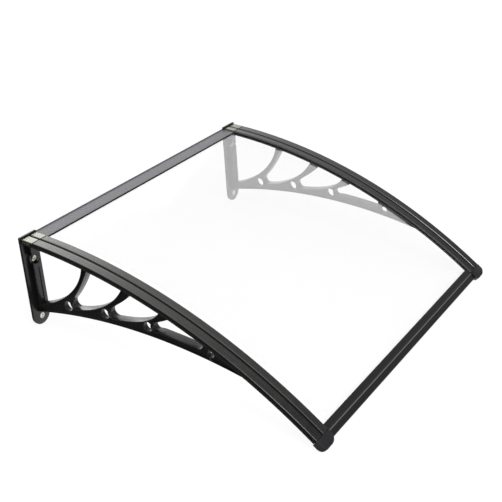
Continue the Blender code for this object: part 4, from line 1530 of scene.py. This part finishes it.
@dataclass
class FrontBar:
    """The bar along the sheet's front edge: a flat top, a low ridge and a hollow rounded nose."""

    ridge_width: float = 0.0030
    nose_wall: float = 0.0018
    nose_tip: float = 0.0060
    nose_heel: float = 0.0042
    end_cut: float = 0.00135
    cap_reach: float = 0.016
    edge: float = 0.0004
    end_edge: float = 0.0002
    over: float = 0.002
    ahead: float = 0.01
    brow_slopes: Point = (-35, -85)
    chin_slopes: Point = (-95, -170)
    rib_count: int = 4
    rib_depth: float = 0.0003
    trim_height: float = 0.0006
    trim_width: float = 0.0012
    trim_foot: float = 0.0008
    trim_clear: float = 0.004
    hollow_back: float = 4 / 3
    hollow_drop: float = 0.2
    brow_steps: int = 20
    chin_steps: int = 12

    def trim(self) -> bpy.types.Mesh:
        """Slim pale strip on the ridge's front corner, between the strips, that paints the ridge's
        highlight.
        """
        top = PLAN.upper[1]
        crest = top + PLAN.ridge_rise
        ridge = PLAN.ridge_at
        foot = ridge + PLAN.ridge_rise
        places = [
            (ridge - self.trim_width, crest),
            (ridge, crest),
            (foot, top),
            (foot + self.trim_foot, top),
            (ridge, crest + self.trim_height),
            (ridge - self.trim_width, crest + self.trim_height),
        ]
        reach = PLAN.bracket_at - PLAN.strip_width / 2 - self.trim_clear
        return plate_mesh("ridge_highlight_strip", ARC.outline(places), 2 * reach, from_side())

    def outlines(self) -> tuple[list[Point], list[Point]]:
        """Side view of the bar, and of the hollow in its nose."""
        low, top = PLAN.upper
        under, over = PLAN.lower
        ridge = PLAN.ridge_at - self.ridge_width
        step = self.ridge_width / 2
        rise = PLAN.ridge_rise
        wall = self.nose_wall
        front = (PLAN.nose_end, top - self.nose_tip)
        heel = (PLAN.nose_end - self.nose_heel, PLAN.nose_bottom)
        start = PLAN.nose_start
        outline = [
            *ribbed(PLAN.upper_lip_at, ridge - step, top, self.rib_count, self.rib_depth),
            (ridge - step, top),
            (ridge, top + rise),
            (PLAN.ridge_at, top + rise),
            *bow((PLAN.ridge_at + rise, top), front, *self.brow_slopes, self.brow_steps),
            *bow(front, heel, *self.chin_slopes, self.chin_steps)[1:],
            (start, PLAN.nose_bottom),
            (start, under),
            (PLAN.lower_lip_at, under),
            (PLAN.lower_lip_at, over),
            (start, over),
            (start, low),
            (PLAN.upper_lip_at, low),
        ]
        hollow = [
            (start + wall, PLAN.nose_bottom + wall),
            (heel[0] - wall / 2, PLAN.nose_bottom + wall),
            (front[0] - wall * self.hollow_back, front[1] - wall * self.hollow_drop),
            (start + (PLAN.nose_end - start) / 2, top - wall * 2),
            (start + wall, top - wall),
        ]
        return eased(outline, self.edge), eased(hollow, self.edge * 2)

    def build(self) -> list[bpy.types.Object]:
        """Build the bar, its nose cut back where the caps hold it."""
        outline, hollow = (ARC.outline(shape) for shape in self.outlines())
        solid = plate_mesh(
            "drawn_front_bar", outline, PLAN.sheet_width, from_side(), self.end_edge, holes=[hollow]
        )
        start = PLAN.nose_start + self.end_cut
        end = PLAN.nose_end + self.ahead
        high = PLAN.strip_top + self.over
        low = PLAN.nose_bottom - 2 * self.over
        corners = ARC.outline([(start, high), (start, low), (end, low), (end, high)])
        reach = PLAN.bracket_at + self.cap_reach
        places = [from_side(side.value * (PLAN.sheet_width + reach) / 2) for side in Side]
        depth = PLAN.sheet_width - reach
        cuts = [plate_mesh("nose_cut", corners, depth, place) for place in places]
        bar = combined("drawn_front_bar", solid, {Join.DIFFERENCE: cuts})
        return [
            add_piece("drawn_front_bar", bar, FRONT_ALUMINIUM, "front_bar"),
            add_piece("ridge_highlight_strip", self.trim(), RIDGE_HIGHLIGHT_PAINT),
        ]


@dataclass
class FrontCaps:
    """The two caps at the ends of the front bar, round at the corners as seen from above."""

    width: float = 0.057
    corner: float = 0.020
    flat: float = 0.0185
    length: float = 0.0308
    lip_length: float = 0.0022
    lip_rise: float = 0.0006
    brow_back: float = 0.0026
    brow_drop: float = 0.0048
    nose_drop: float = 0.0080
    top_wall: float = 0.0026
    bottom_wall: float = 0.0028
    nose_reach: float = 0.016
    end_cut: float = 0.00135
    edge: float = 0.0007
    brow_slopes: Point = (-28, -80)
    chin_slopes: Point = (-95, -165)
    corner_steps: int = 24
    brow_steps: int = 10
    chin_steps: int = 8

    def __post_init__(self) -> None:
        """Work out the heights and places that follow from the sizes."""
        self.cavity_top = PLAN.upper[1] + PLAN.ridge_rise + PLAN.gap
        self.cavity_bottom = PLAN.nose_bottom - PLAN.gap
        self.top = self.cavity_top + self.top_wall
        self.bottom = self.cavity_bottom - self.bottom_wall
        self.start = PLAN.strip_end + PLAN.gap
        self.end = self.start + self.length

    def outline(self) -> list[Point]:
        """Side view of a cap."""
        face = self.top - self.lip_rise
        brow = (self.end - self.brow_back, self.top - self.brow_drop)
        nose = (self.end, self.top - self.nose_drop)
        heel = (self.end - self.nose_drop / 2, self.bottom)
        places = [
            (self.start, self.top),
            (self.start + self.lip_length, self.top),
            (self.start + self.lip_length + self.lip_rise, face),
            (self.start + self.flat, face),
            *bow(brow, nose, *self.brow_slopes, self.brow_steps),
            *bow(nose, heel, *self.chin_slopes, self.chin_steps)[1:],
            (self.start, self.bottom),
        ]
        return ARC.outline(places)

    def space(self, end: float) -> list[Point]:
        """Side view of a space in a cap that is open to the rear."""
        behind = self.start - PLAN.cap_overlap
        low, high = self.cavity_bottom, self.cavity_top
        return ARC.outline([(behind, low), (end, low), (end, high), (behind, high)])

    def build(self) -> list[bpy.types.Object]:
        """Build both caps."""
        made = []
        inner = PLAN.bracket_at - self.width
        radius = self.width / 2
        aside, ahead = radius - self.corner, self.corner - self.length
        plan = [
            *round_corner((-aside, ahead), self.corner, 180, 270, self.corner_steps),
            *round_corner((aside, ahead), self.corner, 270, 360, self.corner_steps),
            (radius, self.length),
            (-radius, self.length),
        ]
        spaces = (
            (PLAN.nose_start + self.end_cut + PLAN.gap, PLAN.sheet_width / 2 + PLAN.gap),
            (PLAN.nose_end + PLAN.gap, PLAN.bracket_at + self.nose_reach + PLAN.gap),
        )
        for side in Side:
            name = f"moulded_cap_{side.word}"
            across = side.value * PLAN.bracket_at
            body = plate_mesh(name, self.outline(), 2 * self.width, from_side(across))
            cookie = plate_mesh("cap_plan", plan, self.width, ARC.frame(across, self.start, 0.0))
            solid = combined(name, body, {Join.INTERSECT: [cookie]}, self.edge)
            cuts = []
            for end, limit in spaces:
                place = from_side(side.value * (limit + inner) / 2)
                cuts.append(plate_mesh("cap_space", self.space(end), limit - inner, place))
            cap = combined(name, solid, {Join.DIFFERENCE: cuts})
            made.append(add_piece(name, cap, CAP_PLASTIC, f"front_cap_{side.word}"))
        return made


@dataclass
class Screws:
    """Pan head screws with a cross recess, which hold the strips, covers and caps from below."""

    stations: int = 4
    end_margin: float = 0.050
    offset: float = 0.0188
    shank: float = 0.004
    head: float = 0.0085
    head_height: float = 0.0026
    head_round: float = 0.0014
    dome: Sequence[Point] = ((0.0, 0.08), (0.5, 0.06))
    cover: float = 0.001
    cover_at: float = 0.0245
    recess: float = 0.0046
    recess_width: float = 0.0011
    recess_depth: float = 0.0016
    cap_from_ridge: float = 0.0080
    cap_inset: float = 0.006
    cap_screw_length: float = 0.0061
    steps: int = 36
    head_steps: int = 6

    def mesh(self, name: str, seat: float, end: float) -> bpy.types.Mesh:
        """Screw along its own Z, its head below the seat."""
        head = self.head / 2
        shank = self.shank / 2
        base = seat - self.head_height
        flat = head - self.head_round
        profile = [(flat * share, base - self.head_round * rise) for share, rise in self.dome]
        for turn in map(math.radians, spaced(0, 90, self.head_steps)):
            out = head - self.head_round * (1 - math.sin(turn))
            profile.append((out, base + self.head_round * (1 - math.cos(turn))))
        profile += [(head, seat), (shank, seat), (shank, end), (0.0, end)]
        solid = turned_mesh(name, profile, self.steps)
        bar = box_outline(self.recess, -self.recess_width / 2, self.recess_width / 2)
        middle = Matrix.Translation((0.0, 0.0, base))
        places = [middle @ Matrix.Rotation(turn, 4, "Z") for turn in (0.0, math.pi / 2)]
        slots = [plate_mesh("recess", bar, 2 * self.recess_depth, place) for place in places]
        return combined(name, solid, {Join.DIFFERENCE: slots})

    def places(self) -> list[float]:
        """Places along the arc of the screws on one side of a strip and its cover."""
        first = PLAN.strip_start + self.end_margin
        last = PLAN.strip_end - self.end_margin
        return [self.cover_at, *spaced(first, last, self.stations - 1)]

    def build(self) -> list[bpy.types.Object]:
        """Build every screw."""
        made = []
        end = PLAN.strip_top - self.cover - PLAN.gap
        long = self.mesh("pan_head_screw", PLAN.flange_bottom - PLAN.gap, end)
        seat = FrontCaps().bottom - PLAN.gap
        short = self.mesh("short_screw", seat, seat + self.cap_screw_length)
        for side in Side:
            for station, along in enumerate(self.places()):
                for wing, sign in (("a", -1), ("b", 1)):
                    matrix = beside(side) @ ARC.frame(sign * self.offset, along, 0.0)
                    tail = f"{side.word}_{station}{wing}"
                    node = f"strip_screw_{tail}"
                    name = f"pan_head_screw_{tail}"
                    made.append(add_piece(name, long, SCREW_STEEL, node, matrix))
            across = side.value * (PLAN.bracket_at + self.cap_inset)
            matrix = ARC.frame(across, PLAN.ridge_at + self.cap_from_ridge, 0.0)
            node = f"cap_screw_{side.word}"
            made.append(add_piece(f"short_screw_{side.word}", short, SCREW_STEEL, node, matrix))
        return made


@dataclass
class Bushes:
    """Steel bushes pressed into the bolt holes of the wall plates, each with a thin collar."""

    collar: float = 0.0165
    collar_thickness: float = 0.0008
    collar_gap: float = 0.0001
    outside: float = 0.0106
    inside: float = 0.0088
    edge: float = 0.0003
    steps: int = 40
    rim_steps: int = 3

    def mesh(self, name: str, face: float) -> bpy.types.Mesh:
        """Bush that runs from the wall to its collar on a face, at a distance from the wall."""
        front = face + self.collar_thickness
        rim = (self.collar / 2 - self.edge, front - self.edge)
        mouth = (self.inside / 2 + self.edge * 2, front - self.edge * 2)
        profile = [
            (self.inside / 2, PLAN.gap),
            (self.outside / 2, PLAN.gap),
            (self.outside / 2, face + self.collar_gap),
            (self.collar / 2, face + self.collar_gap),
            *round_corner(rim, self.edge, 0, 90, self.rim_steps),
            *round_corner(mouth, self.edge * 2, 90, 180, TURNED_STEPS),
            (self.inside / 2, PLAN.gap),
        ]
        mesh = turned_mesh(name, profile, self.steps)
        mesh.transform(Matrix.Rotation(math.pi / 2, 4, "X"))
        return mesh

    def build(self) -> list[bpy.types.Object]:
        """Build the four bushes."""
        made = []
        brackets = Brackets()
        boss_face = PLAN.plate_thickness + brackets.boss_height - brackets.pocket_sink
        faces = (boss_face, PLAN.plate_thickness)
        for side in Side:
            for word, height, face in zip(("upper", "lower"), brackets.bolt_heights, faces):
                name = f"steel_bush_{side.word}_{word}"
                mesh = self.mesh(name, face)
                mesh.transform(beside(side) @ Matrix.Translation((0.0, 0.0, height)))
                made.append(add_piece(name, mesh, SCREW_STEEL))
        return made


@dataclass
class Studio:
    """Plain pale floor, soft white light, cards that the glossy faces mirror, and the camera."""

    camera_at: Place = (-2.05885, -1.81181, 1.07521)
    camera_right: Place = (0.5436255, -0.83726146, -0.05886055)
    camera_down: Place = (-0.40021211, -0.1969332, -0.89501261)
    camera_forward: Place = (0.73776797, 0.51010838, -0.44214009)
    lens: float = 70.01
    sensor: float = 36.0
    clip: Point = (0.05, 100.0)
    floor_at_wall: float = -0.2535
    floor_slope: float = math.radians(6.05)
    floor_half: float = 12.0
    floor_level: float = 1.06
    glow: float = 0.86
    sky: float = 0.62
    lamp_at: Place = (-1.5, -3.5, 4.0)
    lamp_aim: Place = (0.0, -0.45, -0.1)
    lamp_size: float = 2.5
    lamp_power: float = 110.0
    card_level: float = 0.05
    card_lift: float = 0.0008
    floor_cards: Sequence[tuple[str, Point, Point]] = (
        ("left_card", (-1.9, -2.5), (-0.506, 2.0)),
        ("front_card", (-0.506, -2.5), (2.6, -0.908)),
        ("cap_card", (-0.506, -0.908), (-0.40, -0.83)),
    )
    tall_card: Sequence[Place] = ((3, -9, -1), (3, 5.5, -1), (3, 5.5, 9), (3, -9, 9))
    tall_fall: float = 1.5
    tall_dark: float = 0.6
    tall_bright: float = 2.0
    tall_ranges: Sequence[tuple[str, float, float]] = (
        ("Y", 3.0, 3.5),
        ("Y", 1.5, 1.75),
        ("Z", 2.8, 2.4),
    )

    def camera(self) -> None:
        """Put the camera where the picture was taken from."""
        data = bpy.data.cameras.new("camera")
        data.lens = self.lens
        data.sensor_width = self.sensor
        data.clip_start, data.clip_end = self.clip
        axes = Matrix((self.camera_right, self.camera_down, self.camera_forward)).transposed()
        flip = Matrix.Diagonal((1.0, -1.0, -1.0))
        place = Matrix.Translation(self.camera_at) @ (axes @ flip).to_4x4()
        bpy.context.scene.camera = put("camera", data, place)

    def panel(
        self, name: str, corners: Sequence[Place], stuff: str, place: Optional[Matrix] = None
    ) -> tuple[bpy.types.Object, bpy.types.NodeTree]:
        """Add a flat panel.

        Args:
            name: Name of the panel.
            corners: Its four corners.
            stuff: Name of its material.
            place: Its place, where the corners aren't in place themselves.

        Returns:
            The panel, and the empty node tree of its material.
        """
        mesh = bpy.data.meshes.new(name)
        mesh.from_pydata(corners, [], [(0, 1, 2, 3)])
        material = bpy.data.materials.new(stuff)
        mesh.materials.append(material)
        return put(name, mesh, place), blank_tree(material)

    def floor(self) -> None:
        """Pale floor that the wall plates and the caps stand on, and that keeps their shadow."""
        size = self.floor_half
        corners = [(-size, -size, 0), (size, -size, 0), (size, size, 0), (-size, size, 0)]
        level = Matrix.Translation((0, 0, self.floor_at_wall))
        place = level @ Matrix.Rotation(self.floor_slope, 4, "X")
        floor, tree = self.panel("floor", corners, "White paper", place)
        paper = add_node(tree, "ShaderNodeBsdfDiffuse", {"Color": linear(WHITE)})
        light = {"Color": linear(WHITE), "Strength": self.floor_level}
        glow = add_node(tree, "ShaderNodeEmission", light)
        shaders = {1: paper.outputs[0], 2: glow.outputs[0]}
        mixed = add_node(tree, "ShaderNodeMixShader", {0: self.glow}, shaders)
        add_node(tree, "ShaderNodeOutputMaterial", links={"Surface": mixed.outputs[0]})

    def world(self) -> None:
        """White all round, which lights a little less than it shows and leaves that to the lamp."""
        world = bpy.data.worlds.new("studio")
        bpy.context.scene.world = world
        tree = blank_tree(world)
        path = add_node(tree, "ShaderNodeLightPath")
        seen = path.outputs["Is Camera Ray"]
        for ray in ("Is Glossy Ray", "Is Transmission Ray"):
            rays = {0: seen, 1: path.outputs[ray]}
            seen = add_node(tree, "ShaderNodeMath", links=rays, operation="MAXIMUM").outputs[0]
        ends = {"To Min": self.sky, "To Max": 1.0}
        level = add_node(tree, "ShaderNodeMapRange", ends, {"Value": seen})
        shows = {"Strength": level.outputs["Result"]}
        white = add_node(tree, "ShaderNodeBackground", {"Color": linear(WHITE)}, shows)
        add_node(tree, "ShaderNodeOutputWorld", links={"Surface": white.outputs[0]})

    def lamp(self) -> None:
        """Soft lamp above the front."""
        data = bpy.data.lights.new("front_lamp", "AREA")
        data.shape = "SQUARE"
        data.size = self.lamp_size
        data.energy = self.lamp_power
        aim = Vector(self.lamp_aim) - Vector(self.lamp_at)
        turn = aim.to_track_quat("-Z", "Y").to_matrix().to_4x4()
        put("front_lamp", data, Matrix.Translation(self.lamp_at) @ turn)

    def card(
        self, name: str, corners: Sequence[Place]
    ) -> tuple[bpy.types.NodeTree, bpy.types.Node]:
        """Add a card that only shows in what mirrors it.

        Args:
            name: Name of the card.
            corners: Its four corners.

        Returns:
            Node tree of its material, and the node that sets its level.
        """
        card, tree = self.panel(name, corners, f"Cloth of the {name}")
        for ray in ("camera", "diffuse", "transmission", "volume_scatter", "shadow"):
            setattr(card, f"visible_{ray}", False)
        light = {"Color": linear(WHITE), "Strength": self.card_level}
        glow = add_node(tree, "ShaderNodeEmission", light)
        add_node(tree, "ShaderNodeOutputMaterial", links={"Surface": glow.outputs[0]})
        return tree, glow

    def cards(self) -> None:
        """Cards that the metal and the gloss of the plastic mirror.

        A tall one beyond the right end is dark in front and pale towards the wall, with a bright
        window low at the wall side. Dark ones lie on the floor: beside the left end, in front, and
        under the left cap.
        """
        for name, (left, front), (right, back) in self.floor_cards:
            low, high = (
                self.floor_at_wall + self.card_lift + at * math.tan(self.floor_slope)
                for at in (front, back)
            )
            near = [(left, front, low), (right, front, low)]
            self.card(name, [*near, (right, back, high), (left, back, high)])
        tree, glow = self.card("tall_card", self.tall_card)
        place = {"Vector": add_node(tree, "ShaderNodeTexCoord").outputs["Object"]}
        axes = add_node(tree, "ShaderNodeSeparateXYZ", links=place).outputs
        ranges = []
        for axis, start, end in self.tall_ranges:
            ends = {"From Min": start, "From Max": end}
            along = {"Value": axes[axis]}
            kind = "SMOOTHSTEP"
            ranged = add_node(tree, "ShaderNodeMapRange", ends, along, interpolation_type=kind)
            ranges.append(ranged.outputs["Result"])
        wall_side, near_wall, low = ranges
        source = {1: axes["Y"]}
        fall = add_node(tree, "ShaderNodeMath", {0: self.tall_fall}, source, operation="POWER")
        source = {0: fall.outputs[0]}
        dark = add_node(tree, "ShaderNodeMath", {1: self.tall_dark}, source, operation="MULTIPLY")
        source = {0: near_wall, 1: low}
        window = add_node(tree, "ShaderNodeMath", links=source, operation="MULTIPLY")
        source = {0: wall_side, 1: window.outputs[0]}
        bright = add_node(tree, "ShaderNodeMath", links=source, operation="MAXIMUM")
        source = {0: bright.outputs[0]}
        lit = add_node(tree, "ShaderNodeMath", {1: self.tall_bright}, source, operation="MULTIPLY")
        source = {0: dark.outputs[0], 1: lit.outputs[0]}
        level = add_node(tree, "ShaderNodeMath", links=source, operation="MAXIMUM")
        tree.links.new(level.outputs[0], glow.inputs["Strength"])

    def build(self) -> None:
        """Build the studio."""
        self.camera()
        self.floor()
        self.world()
        self.lamp()
        self.cards()
        bpy.context.scene.view_settings.view_transform = "Standard"


def main() -> None:
    """Build the looks around the frame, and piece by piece."""
    logging.basicConfig(level=logging.INFO, format="%(name)s: %(message)s")
    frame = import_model()
    LOG.info("frame: %d nodes", len(frame["nodes"]))
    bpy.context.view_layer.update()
    Studio().build()
    for assembly in (Brackets, ClearSheet, Strips, RearBar, FrontBar, FrontCaps, Screws, Bushes):
        pieces = assembly().build()
        LOG.info("%s: %d pieces", assembly.__name__, len(pieces))


if __name__ == "__main__":
    main()
